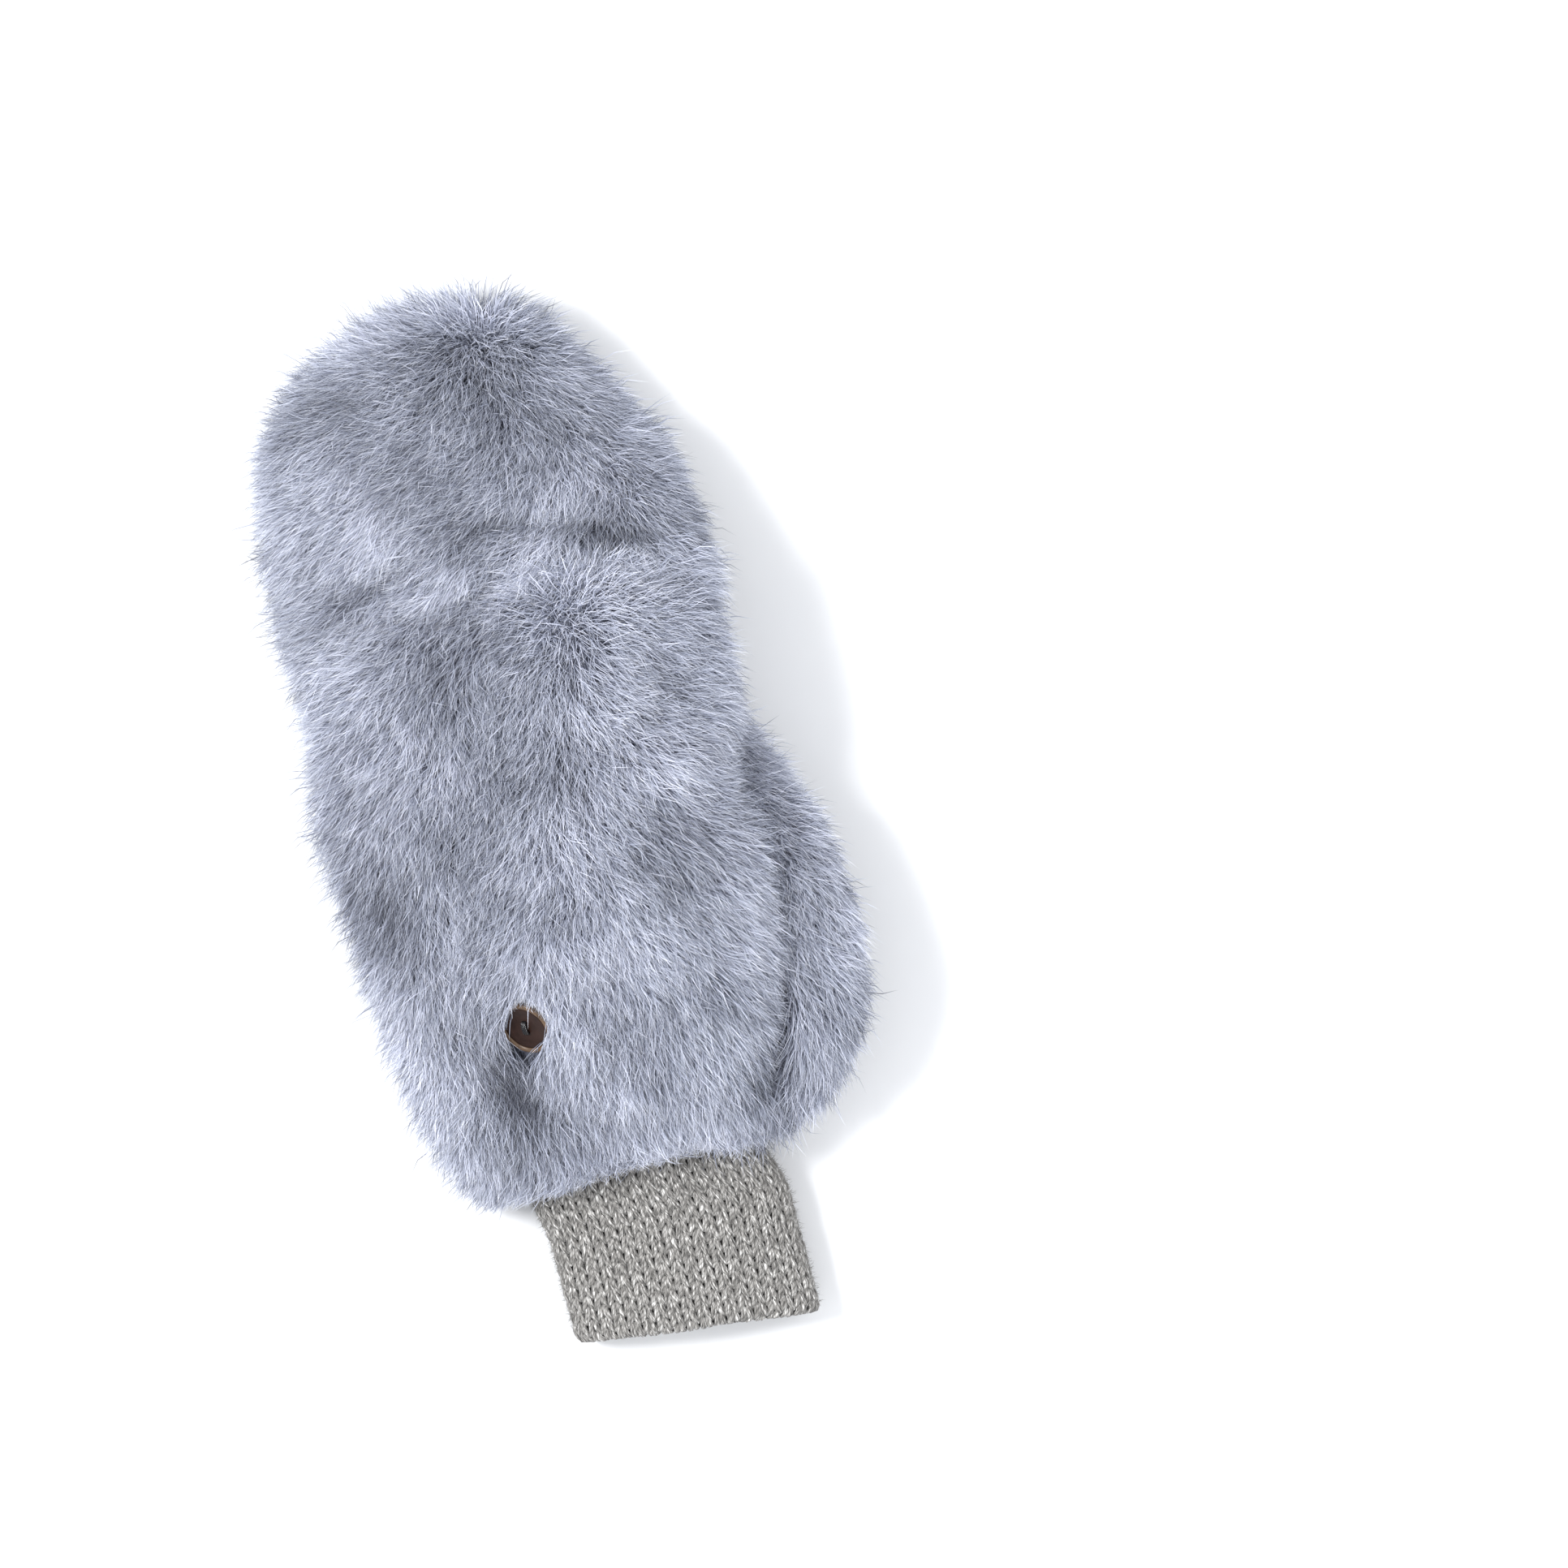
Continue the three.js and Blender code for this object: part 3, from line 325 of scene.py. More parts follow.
def body_point(y, angle, inset):
    """The hand's backing, set in smoothly where it passes under the cap."""
    edge = cap_edge(angle)
    along = ease(edge - TUCK_LEAD - TUCK_LENGTH, edge - TUCK_LEAD, y)
    return hand_point(y, angle, inset + TUCK_DEPTH * along * on_palm(TUCK_TURN, angle))


def thumb_point(y, angle, inset):
    """The thumb's backing: ovals from its table between two round ends, raised on its outside."""
    y, angle, inset = np.broadcast_arrays(y, angle, np.asarray(inset, float))
    along = (y - THUMB_ROOT) / (THUMB_TIP - THUMB_ROOT)
    left = column(THUMB, "left", along) * HAND_WIDTH
    right = column(THUMB, "right", along) * HAND_WIDTH
    height = column(THUMB, "height", along) * THUMB_HEIGHT
    rise = column(THUMB, "rise", along) * THUMB_HEIGHT
    at_tip = rounding((y - THUMB_TIP + THUMB_ROUNDING) / (THUMB_ROUNDING - inset), THUMB_FULLNESS)
    at_root = rounding((THUMB_ROOT + ROOT_ROUNDING - y) / (ROOT_ROUNDING - inset), THUMB_FULLNESS)
    full = at_tip * at_root
    sine = np.sin(angle)
    power = np.where(sine < 0, *THUMB_OVAL)
    x = (left + right) / 2 + ((right - left) / 2 - inset) * full * bent(np.cos(angle), power)
    thin = mix(THUMB_END_HEIGHT, 1, full) * full
    z = REST_DEPTH + height * THUMB_MIDDLE + (height / 2 - inset) * thin * bent(sine, power)
    outside = ease((left + right) / 2, right, x)
    return np.stack([x, y, np.maximum(z, REST_DEPTH + inset) + rise * outside], -1)


def cuff_end(angle):
    """The cuff's slanting end, along the cosine of the angle."""
    return CUFF_END_MIDDLE - CUFF_SLANT / 2 * np.cos(angle)


def cuff_point(y, angle, inset):
    """The cuff: a flat oval that widens smoothly to the inside of the body's wrist."""
    y, angle, inset = np.broadcast_arrays(y, angle, np.asarray(inset, float))
    sine = np.sin(angle)
    power = np.where(sine < 0, *CUFF_OVAL)
    x = CUFF_SHIFT + (CUFF_WIDTH / 2 - inset) * bent(np.cos(angle), power)
    z = CUFF_HEIGHT / 2 - WALE_DEPTH / 2 + (CUFF_HEIGHT / 2 - inset) * bent(sine, power)
    free = np.stack([x, y, z], -1)
    sewn = hand_point(np.maximum(y, CUFF_HEM), angle, inset + BACKING + 3 * CLEARANCE)
    sewn[..., 1] = y
    share = ease(CUFF_HEM - CUFF_BLEND, CUFF_HEM + 1, y)
    return mix(free, sewn, share[..., None])


def unit(vectors):
    """Vectors brought to length 1."""
    return vectors / np.maximum(np.linalg.norm(vectors, axis=-1, keepdims=True), 1e-9)


def dot(a, b):
    """Scalar product, kept as a column."""
    return np.sum(a * b, -1, keepdims=True)


def slopes(form, y, angle):
    """A form's slope along the hand, its slope round it, and its outward direction."""
    along = form(y + 0.4, angle, 0) - form(y - 0.4, angle, 0)
    across = form(y, angle + 0.015, 0) - form(y, angle - 0.015, 0)
    return along / 0.8, across / 0.03, unit(np.cross(along, across))


# The button's place on the backing and the turn of its axis.
angle_of_button = math.pi / 2
for _ in range(60):
    angle_of_button += float(hand_point(BUTTON_Y, angle_of_button, 0)[0] - BUTTON_X) * 0.01
button_foot = hand_point(BUTTON_Y, angle_of_button, 0)
button_axis = slopes(hand_point, np.array(BUTTON_Y), np.array(angle_of_button))[2]
button_middle = button_foot + button_axis * (CLEARANCE + BUTTON_THICKNESS / 2)

# The layout's place in the shared frame, from the button, which is in both.
low, high = (np.array(corner) * 1000 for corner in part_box("button"))
SHIFT = (low + high) / 2 - button_middle


def make_mesh(name, points, faces, uv=None, smooth=True):
    """A mesh piece from an array of points in the mitten's layout and a list of index arrays of
    faces, one array for each number of corners. uv has a pair for each point."""
    mesh = bpy.data.meshes.new(name)
    flat = np.concatenate([part.ravel() for part in faces]).astype(np.int32)
    sizes = np.concatenate([np.full(len(part), part.shape[1], np.int32) for part in faces])
    mesh.vertices.add(len(points))
    mesh.vertices.foreach_set("co", ((points + SHIFT) / 1000).astype(np.float32).ravel())
    mesh.loops.add(len(flat))
    mesh.loops.foreach_set("vertex_index", flat)
    mesh.polygons.add(len(sizes))
    starts = np.concatenate([[0], np.cumsum(sizes)[:-1]]).astype(np.int32)
    mesh.polygons.foreach_set("loop_start", starts)
    mesh.polygons.foreach_set("loop_total", sizes)
    mesh.polygons.foreach_set("use_smooth", np.full(len(sizes), smooth))
    mesh.update(calc_edges=True)
    if uv is not None:
        layer = mesh.uv_layers.new(name="OFBake")
        layer.data.foreach_set("uv", uv[flat].astype(np.float32).ravel())
    piece = bpy.data.objects.new(name, mesh)
    bpy.context.scene.collection.objects.link(piece)
    return piece


def ring_faces(rows):
    """Index arrays of a closed ring-shaped surface from a grid of points: each row closed on
    itself, and the last row joined to the first."""
    count, around = rows.shape[:2]
    place = np.arange(count * around).reshape(count, around)
    a, b = place, np.roll(place, -1, 1)
    c, d = np.roll(b, -1, 0), np.roll(a, -1, 0)
    return np.stack([a, b, c, d], -1).reshape(-1, 4)


def double_wall(outer, inner, dropped=None, closed_start=False, closed_end=False):
    """Points and faces of a wall with an outside and an inside: two grids of points, rows along
    the hand and columns round it, less the dropped cells. A rim joins both wherever a cell ends,
    and a closed end has a small face on each instead."""
    count, around = outer.shape[:2]
    place = np.arange(count * around).reshape(count, around)
    ahead = np.roll(place, -1, 1)
    cells = np.stack([place[1:], ahead[1:], ahead[:-1], place[:-1]], -1)
    kept = np.ones(cells.shape[:2], bool) if dropped is None else ~dropped
    start, end = np.full((1, around), closed_start), np.full((1, around), closed_end)
    padded = np.concatenate([start, kept, end])
    inside = count * around
    quads = [cells[kept], cells[kept][:, ::-1] + inside]
    for beside, i, j in (
        (padded[2:], 0, 1), (np.roll(kept, -1, 1), 1, 2),
        (padded[:-2], 2, 3), (np.roll(kept, 1, 1), 3, 0),
    ):
        border = cells[kept & ~beside]
        near, far = border[:, i], border[:, j]
        quads.append(np.stack([far, near, near + inside, far + inside], -1))
    caps = []
    if closed_start:
        caps += [place[:1], place[:1, ::-1] + inside]
    if closed_end:
        caps += [place[-1:, ::-1], place[-1:] + inside]
    points = np.concatenate([outer.reshape(-1, 3), inner.reshape(-1, 3)])
    return points, [np.concatenate(quads)] + caps


def wall(form, start, end, outer, inner, inner_end, around, steps):
    """The outside and the inside grid of a form from its open edge to its end."""
    angle = np.arange(around) / around * TURN
    share = (1 - (1 - np.linspace(0, 1, steps)) ** ENDS_DENSER)[:, None]
    outside = form(mix(start(angle)[None], end(angle)[None], share), angle[None], outer)
    inside = form(mix(start(angle)[None], inner_end(angle)[None], share), angle[None], inner)
    return outside, inside


def in_thumb_hole(points):
    """Whether points seen from above lie in the oval hole between the palm and the thumb."""
    across = (points[..., 0] - HOLE_X) / HOLE_ACROSS
    along = (points[..., 1] - HOLE_Y) / HOLE_ALONG
    return np.hypot(across, along) < 0.5


def always(value):
    """The same place at every angle."""
    return lambda angle: np.full(np.shape(angle), float(value))


def scatter(cells, seed):
    """A random number from 0 to 1 for each whole-numbered cell: the fraction of a large sine."""
    turned = cells @ np.array([12.9898, 78.233, 37.719]) + seed * 4.1414
    return np.modf(np.abs(np.sin(turned) * 43758.5453))[0]


def gather(points, size, seed):
    """The nearest of the points jittered in a lattice of cells, and a random number of it."""
    cell = np.floor(points / size)
    best = np.full(len(points), 1e9)
    centre, number = np.zeros_like(points), np.zeros(len(points))
    for step in np.stack(np.meshgrid(*[[-1, 0, 1]] * 3), -1).reshape(-1, 3):
        near = cell + step
        place = (near + np.stack([scatter(near, seed + k) for k in range(3)], -1)) * size
        away = np.sum((place - points) ** 2, -1)
        closer = away < best
        best = np.where(closer, away, best)
        centre = np.where(closer[:, None], place, centre)
        number = np.where(closer, scatter(near, seed + 9), number)
    return centre, number


def wander(points, size, seed):
    """Soft random rise and fall from -1 to 1: a sum of sines of turned coordinates."""
    ways = np.random.default_rng(seed).normal(size=(6, 3)) / size
    shifts = np.random.default_rng(seed + 1).uniform(0, TURN, 6)
    return np.sin(points @ ways.T * 2.2 + shifts).sum(-1) / 3.2


def lie_at(rows, x, y):
    """The pile's heading: the table's directions, weighted by how near each place is. Its length
    is 1 where they agree, and less where they part."""
    pull, whole = 0, 0
    for px, py, heading in zip(*rows.values()):
        weight = 1 / ((x - px) ** 2 + (y - py) ** 2 + LIE_BLEND**2) ** 1.7
        turn = math.radians(heading)
        pull = pull + weight[:, None] * np.array([math.cos(turn), math.sin(turn), 0])
        whole = whole + weight[:, None]
    return pull / whole


def relief_at(x, y):
    """Extra height of the pile on the back, and its painted light and shade: a sum of long bell
    curves.
    """
    raised, shade = 0, 0
    for px, py, long, short, turn, lift, tone in zip(*RELIEF.values()):
        c, s = math.cos(math.radians(turn)), math.sin(math.radians(turn))
        u = ((x - px) * c + (y - py) * s) / long
        v = ((y - py) * c - (x - px) * s) / short
        bell = np.exp(-u * u - v * v)
        raised, shade = raised + lift * bell, shade + tone * bell
    return raised, shade


def waves(points, rows):
    """A sum of slow random waves over the mitten."""
    return sum(amount * wander(points, size, seed) for amount, size, seed in rows)


def spread_roots(form, start, end, count, is_kept):
    """Random places along and round a form: even over its area, times the share that is kept."""
    share = (np.arange(ROOTS_GRID) + 0.5) / ROOTS_GRID
    angle = np.arange(ROOTS_GRID) / ROOTS_GRID * TURN
    place = 1 - (1 - share[:, None]) ** ENDS_DENSER
    grid = form(mix(start(angle)[None], end(angle)[None], place), angle[None], 0)
    side = np.roll(grid, -1, 1) - grid
    down = np.gradient(grid, axis=0)
    area = np.linalg.norm(np.cross(side, down), axis=-1) * is_kept(grid)
    picked = rng.choice(area.size, count, p=(area / area.sum()).ravel())
    row, turn = np.divmod(picked, ROOTS_GRID)
    share = (row + rng.uniform(0, 1, count)) / ROOTS_GRID
    angle = (turn + rng.uniform(0, 1, count)) / ROOTS_GRID * TURN
    return mix(start(angle), end(angle), 1 - (1 - share) ** ENDS_DENSER), angle


def curving(form, y, angle, root, along, across, normal, flow):
    """How much a form bends along a direction on it: the second difference over a short step,
    whose parts along and round the form come from the two slopes."""
    aa, ac, cc = dot(along, along), dot(along, across), dot(across, across)
    fa, fc = dot(flow, along), dot(flow, across)
    det = np.maximum(aa * cc - ac * ac, 1e-4)
    dy, da = ((fa * cc - fc * ac) / det)[:, 0], ((fc * aa - fa * ac) / det)[:, 0]
    step = 2.5
    ahead = form(y + dy * step, angle + da * step, 0)
    behind = form(y - dy * step, angle - da * step, 0)
    curve = np.clip(-dot(ahead + behind - 2 * root, normal) / step**2, -0.01, 0.07)
    return np.where(np.abs(curve) < 2e-3, 2e-3, curve)


def strand_sizes(root, normal, order, clump, tuft, raised, on_back, look):
    """Lengths along the form and heights off the backing. An upright strand is as much shorter
    along as it is higher, one in a whorl is short, and one under the mitten is pressed flat."""
    upright = np.exp(rng.normal(0, 0.22, len(root)))
    size = rng.uniform(0.45, 1.0, len(root)) ** 0.6
    length = look["length"] * size * (1 + CLUMP["length"] * clump) * (1 + waves(root, LENGTH_WAVES))
    height = look["height"] * (1 + waves(root, HEIGHT_WAVES)) + raised * on_back
    height *= size * upright * (1 + CLUMP["height"] * clump + TUFT["height"] * tuft)
    length *= (0.55 + 0.45 * order) / upright
    height *= 1 - look["right_cut"] * ease(0.2, 0.9, normal[:, 0])
    to_tip = ease(0.2, 0.9, normal[:, 1])
    height *= 1 + look["side_height"] * (1 - on_back) + look["tip_height"] * to_tip
    under = ease(-0.2, -0.8, normal[:, 2])
    height = mix(height, np.minimum(height, REST_DEPTH * 0.85), under)
    return length, np.maximum(height, 0.8)


def strand_middles(root, normal, flow, side, curve, length, height, groups, look):
    """Three places along each strand: on an arc that follows the form, lifted off it, drawn to the
    middles of its groups, bowed and waved sideways, and kept off the table."""
    wave = rng.uniform(0, TURN, len(root))
    bow = rng.normal(0, 0.5, len(root))
    centres = []
    for share in STRAND_PLACES:
        run = (length * share)[:, None]
        arc = curve * run
        out = ((height * (1 - (1 - share) ** 2))[:, None]) - look["sink"]
        point = root + flow * np.sin(arc) / curve - normal * (1 - np.cos(arc)) / curve
        up = normal * np.cos(arc) + flow * np.sin(arc)
        point = point + up * out
        for middle, pull in groups:
            toward = middle + flow * length[:, None] * 0.8 - root
            toward = toward - normal * dot(toward, normal) - flow * dot(toward, flow) * 0.6
            point = point + toward * (pull * share**1.5)
        bowed = bow * 4 * share * (1 - share) + 0.4 * share * np.sin(wave)
        centres.append(point + side * bowed[:, None])
    centres = np.stack(centres, 1)
    floor = 0.25 + 0.5 * rng.uniform(0, 1, len(root))
    centres[..., 2] = np.maximum(centres[..., 2], floor[:, None])
    return centres


def above_hem(centres, root):
    """Presses strands back softly from the uneven line at which the pile ends over the cuff: the
    further one is past it, the nearer it comes to one fixed depth past it."""
    uneven = waves(root, HEM_WAVES)[:, None] + rng.normal(0, 1.3, (len(root), 1))
    limit = np.interp(centres[..., 0], HEM_X, HEM_Y) + uneven
    past = np.maximum(limit - centres[..., 1], 0)
    centres[..., 1] += past - HEM_SOFT * (1 - np.exp(-past / HEM_SOFT))
    return centres


def blades(centres, facing, half):
    """Corners of a flat blade along each strand: two at its root, two at its bend and its tip. Its
    breadth is square to its way and to the direction that it faces."""
    root, bend, tip = centres[:, 0], centres[:, 1], centres[:, 2]
    flat = unit(np.cross(unit(np.stack([bend - root, tip - root], 1)), facing)) * half
    return np.concatenate([centres[:, :2] - flat, centres[:, :2] + flat, centres[:, 2:]], 1)


def fur(name, form, start, end, lie, count, is_kept, look):
    """Strands of pile on a form.

    Roots are spread evenly over the form. From its root each strand runs along the pile's
    direction on an arc that follows the form, while its height off the backing grows as one less
    the square of what is left of it. Its tip is drawn a little to the middles of a large and a
    small clump. Each strand is a flat blade of one square and a point."""
    y, angle = spread_roots(form, start, end, count, is_kept)
    root = form(y, angle, 0)
    along, across, normal = slopes(form, y, angle)
    heading, order = lie(root, normal)
    clump_middle, clump = gather(root, look["clump"], 3)
    tuft_middle, tuft = gather(root, look["tuft"], 5)
    clump, tuft = clump - 0.5, tuft - 0.5
    turned = waves(root, WAY_WAVES)
    turned += CLUMP["turn"] * clump + TUFT["turn"] * tuft
    turned += rng.normal(0, 1, count) * (look["stray"] + 1.5 * (1 - order))
    side = np.cross(normal, heading)
    flow = unit(heading * np.cos(turned)[:, None] + side * np.sin(turned)[:, None])
    flow = unit(flow - normal * dot(flow, normal))
    side = np.cross(normal, flow)

    curve = curving(form, y, angle, root, along, across, normal, flow) * look["follow"]
    seen = root + flow * look["length"] * 0.55
    raised, tone = relief_at(seen[:, 0], seen[:, 1])
    on_back = ease(0.0, 0.5, normal[:, 2])
    length, height = strand_sizes(root, normal, order, clump, tuft, raised, on_back, look)
    groups = (clump_middle, look["to_clump"]), (tuft_middle, look["to_tuft"])
    centres = strand_middles(root, normal, flow, side, curve, length, height, groups, look)
    if look["hem"]:
        centres = above_hem(centres, root)
    kept = np.ones(count, bool)
    if "keep_off" in look:
        centres, kept = look["keep_off"](centres)

    roll = (rng.normal(0, 1, count) * mix(0.8, 0.4, on_back))[:, None, None]
    facing = normal[:, None] * np.cos(roll) + side[:, None] * np.sin(roll)
    half = look["width"] / 2 * np.array([0.85, 1.0])[None, :, None]
    half = half * (rng.uniform(0.7, 1.3, count) * (1 + 0.5 * (1 - order)))[:, None, None]
    points = blades(centres, facing, half)[kept].reshape(-1, 3)
    base = np.arange(kept.sum())[:, None] * 5
    quads = base + [0, 2, 3, 1]
    tips = base + [1, 3, 4]

    # The map's first axis holds a strand's shade, and its second the way from root to tip.
    # Painted light and shade: the relief makes strands on ridges and tufts lighter and those in
    # creases and valleys darker, on the back only.
    shade = 0.5 + look["mottle"] * tone * on_back
    shade = shade + CLUMP["shade"] * clump + TUFT["shade"] * tuft
    # Painted light: strands where the pile parts at a whorl are lighter, against the shade that
    # falls between them there; the waves and the last term vary the shade at random.
    shade += 0.12 * (1 - order) + waves(root, SHADE_WAVES) + rng.normal(0, 0.2, count)
    # Painted shade: strands on the sides are darker, to damp the light that falls on them from the
    # side.
    shade -= 0.1 * (1 - on_back)
    shade = np.clip(shade, 0.03, 0.97)[kept]
    across_uv = shade[:, None] + np.array([-1, -1, 1, 1, 0]) * 0.002
    along_uv = np.broadcast_to(np.array([0.02, 0.48, 0.02, 0.48, 0.98]), across_uv.shape)
    # Painted light: at a whorl the roots are made as pale as the middle of a strand.
    along_uv = mix(along_uv, np.maximum(along_uv, 0.6), (1 - order[kept])[:, None])
    uv = np.stack([across_uv, along_uv], -1).reshape(-1, 2)
    return make_mesh(name, points, [quads, tips], uv)


def lie_of(rows, palm):
    """Directions over a whole piece: the table's on the back, turning down at the sides, and one
    direction on the palm."""
    def lie(root, normal):
        heading = lie_at(rows, root[:, 0], root[:, 1])
        order = np.linalg.norm(heading, axis=-1)
        heading = unit(heading)
        heading[:, 2] = -1.5 * ease(0.9, 0.0, normal[:, 2])
        below = ease(0.1, -0.35, normal[:, 2])[:, None]
        heading = heading * (1 - below) + np.array(palm) * below
        order = mix(1, ease(0.2, 0.95, order), ease(0.3, 0.8, normal[:, 2]))
        return unit(heading - normal * dot(heading, normal)), order
    return lie


def on_strand(centres, share):
    """Places on strands of two straight pieces, at shares of the way from root to tip."""
    place = mix(centres[:, None, 0], centres[:, None, 1], np.minimum(share * 2, 1))
    return mix(place, centres[:, None, 2], np.maximum(share * 2 - 1, 0))


def off_button(centres):
    """Keeps strands off the button as it is seen from above.

    All but a few end, a little unevenly, where they first come over both the oval that shows and
    the button's disc, and those that would be left too short go. What still passes over the
    button is raised above it."""
    spin, places = math.radians(BUTTON_LEAN), 15
    long_way = np.array([-math.sin(spin), math.cos(spin), 0])
    short_way = np.array([math.cos(spin), math.sin(spin), 0])
    ragged = rng.normal(1, BUTTON_RAGGED, (len(centres), 1))
    offset = on_strand(centres, np.linspace(0, 1, places)[None, :, None]) - button_middle
    reach = np.hypot(offset @ short_way / BUTTON_SEEN[0], offset @ long_way / BUTTON_SEEN[1])
    sunk = offset[..., :2] @ button_axis[:2] / button_axis[2]
    radius = np.sqrt(np.sum(offset[..., :2] ** 2, -1) + sunk**2)
    inside = (reach < ragged) & (radius < BUTTON_DIAMETER / 2 * ragged)
    inside &= np.abs(offset[..., 2]) < BUTTON_REACH
    inside &= rng.uniform(0, 1, len(centres))[:, None] > BUTTON_CROSSED
    crossing = inside.any(1)
    first_inside = np.where(crossing, inside.argmax(1), places)
    share = np.clip(first_inside / (places - 1), 0, 1)[:, None]
    bend = mix(centres[:, 0], centres[:, 1], share)
    tip = on_strand(centres, share[:, None])[:, 0]
    cut = np.stack([centres[:, 0], bend, tip], 1)
    centres = np.where(crossing[:, None, None], cut, centres)

    top = BUTTON_THICKNESS / 2 + BUTTON_CLEAR
    offset = centres - button_middle
    above = offset @ button_axis
    beside = np.linalg.norm(offset - above[..., None] * button_axis, axis=-1)
    over = beside < BUTTON_DIAMETER / 2 + BUTTON_BESIDE
    over &= (above < top) & (above > -BUTTON_BELOW)
    rise = np.where(over, top - above, 0)
    rise[:, 0] = 0
    return centres + button_axis * rise[..., None], share[:, 0] > SHORTEST_CUT


def ramp(nodes, stops):
    """A colour ramp with named places: (place, colour) pairs."""
    node = nodes.new("ShaderNodeValToRGB")
    while len(node.color_ramp.elements) < len(stops):
        node.color_ramp.elements.new(0.5)
    for element, (place, colour) in zip(node.color_ramp.elements, stops):
        element.position = place
        element.color = (*colour, 1)
    return node


def new_material(name, roughness, specular=0.5):
    """A material with its main shader, its nodes and its links."""
    material = bpy.data.materials.new(name)
    material.use_nodes = True
    nodes, links = material.node_tree.nodes, material.node_tree.links
    shader = nodes["Principled BSDF"]
    shader.inputs["Roughness"].default_value = roughness
    shader.inputs["Specular IOR Level"].default_value = specular
    return material, nodes, links, shader


def pile_material():
    """Blue-grey pile: dark at a strand's root and pale at its tip, lighter or darker by strand,
    where a strand's shade also carries painted light and shade.
    """
    material, nodes, links, shader = new_material("blue_grey_pile", 0.62, 0.28)
    shader.inputs["Sheen Weight"].default_value = 0.07
    shader.inputs["Sheen Roughness"].default_value = 0.4
    uv = nodes.new("ShaderNodeUVMap")
    uv.uv_map = "OFBake"
    split = nodes.new("ShaderNodeSeparateXYZ")
    links.new(uv.outputs["UV"], split.inputs[0])
    length = ramp(nodes, [
        (0.0, (0.07, 0.072, 0.1)), (0.3, (0.27, 0.29, 0.375)),
        (0.7, (0.505, 0.537, 0.65)), (1.0, (0.71, 0.73, 0.8)),
    ])
    links.new(split.outputs["Y"], length.inputs["Fac"])
    tone = ramp(nodes, [
        (0.0, (0.18, 0.18, 0.19)), (0.5, (0.82, 0.825, 0.83)), (1.0, (1.6, 1.55, 1.46)),
    ])
    links.new(split.outputs["X"], tone.inputs["Fac"])
    both = nodes.new("ShaderNodeMix")
    both.data_type = "RGBA"
    both.blend_type = "MULTIPLY"
    both.inputs["Factor"].default_value = 1
    links.new(length.outputs["Color"], both.inputs["A"])
    links.new(tone.outputs["Color"], both.inputs["B"])
    links.new(both.outputs["Result"], shader.inputs["Base Color"])
    return material


def backing_material():
    """The pile's knitted backing, dark grey-blue with a fine uneven grain."""
    material, nodes, links, shader = new_material("pile_backing", 0.9, 0.15)
    place = nodes.new("ShaderNodeTexCoord")
    grain = nodes.new("ShaderNodeTexNoise")
    grain.inputs["Scale"].default_value = 900
    grain.inputs["Detail"].default_value = 3
    links.new(place.outputs["Object"], grain.inputs["Vector"])
    colour = ramp(nodes, [(0.3, (0.1, 0.105, 0.14)), (0.7, (0.2, 0.21, 0.265))])
    links.new(grain.outputs["Fac"], colour.inputs["Fac"])
    links.new(colour.outputs["Color"], shader.inputs["Base Color"])
    bump = nodes.new("ShaderNodeBump")
    bump.inputs["Strength"].default_value = 0.5
    bump.inputs["Distance"].default_value = 0.0004
    links.new(grain.outputs["Fac"], bump.inputs["Height"])
    links.new(bump.outputs["Normal"], shader.inputs["Normal"])
    return material


def yarn_material():
    """Heather yarn: pale and dark fibres mixed, with painted shade in the grooves of a fine twist
    along each leg of a stitch.
    """
    material, nodes, links, shader = new_material("heather_yarn", 0.85, 0.2)
    shader.inputs["Sheen Weight"].default_value = 0.15
    uv = nodes.new("ShaderNodeUVMap")
    uv.uv_map = "OFBake"
    stretch = nodes.new("ShaderNodeMapping")
    stretch.inputs["Scale"].default_value = (96, 15, 1)
    links.new(uv.outputs["UV"], stretch.inputs["Vector"])
    fibres = nodes.new("ShaderNodeTexNoise")
    fibres.inputs["Scale"].default_value = 1
    fibres.inputs["Detail"].default_value = 3
    fibres.inputs["Roughness"].default_value = 0.65
    links.new(stretch.outputs["Vector"], fibres.inputs["Vector"])
    colour = ramp(nodes, [
        (0.34, (0.04, 0.038, 0.036)), (0.46, (0.18, 0.173, 0.164)),
        (0.56, (0.3, 0.29, 0.277)), (0.68, (0.82, 0.81, 0.79)),
    ])
    links.new(fibres.outputs["Fac"], colour.inputs["Fac"])
    # Painted shade: bands along each leg's twist darken the colour in its grooves.
    twist = nodes.new("ShaderNodeTexWave")
    twist.wave_type = "BANDS"
    twist.bands_direction = "DIAGONAL"
    twist.inputs["Scale"].default_value = 17.6
    twist.inputs["Distortion"].default_value = 2.0
    links.new(uv.outputs["UV"], twist.inputs["Vector"])
    darker = nodes.new("ShaderNodeMix")
    darker.data_type = "RGBA"
    darker.blend_type = "MULTIPLY"
    darker.inputs["Factor"].default_value = 0.55
    groove_painted_shade = ramp(nodes, [(0.0, (0.3, 0.3, 0.3)), (0.5, (1.15, 1.15, 1.15))])
    links.new(twist.outputs["Fac"], groove_painted_shade.inputs["Fac"])
    links.new(colour.outputs["Color"], darker.inputs["A"])
    links.new(groove_painted_shade.outputs["Color"], darker.inputs["B"])
    links.new(darker.outputs["Result"], shader.inputs["Base Color"])
    bump = nodes.new("ShaderNodeBump")
    bump.inputs["Strength"].default_value = 0.7
    bump.inputs["Distance"].default_value = 0.0002
    links.new(fibres.outputs["Fac"], bump.inputs["Height"])
    links.new(bump.outputs["Normal"], shader.inputs["Normal"])
    return material


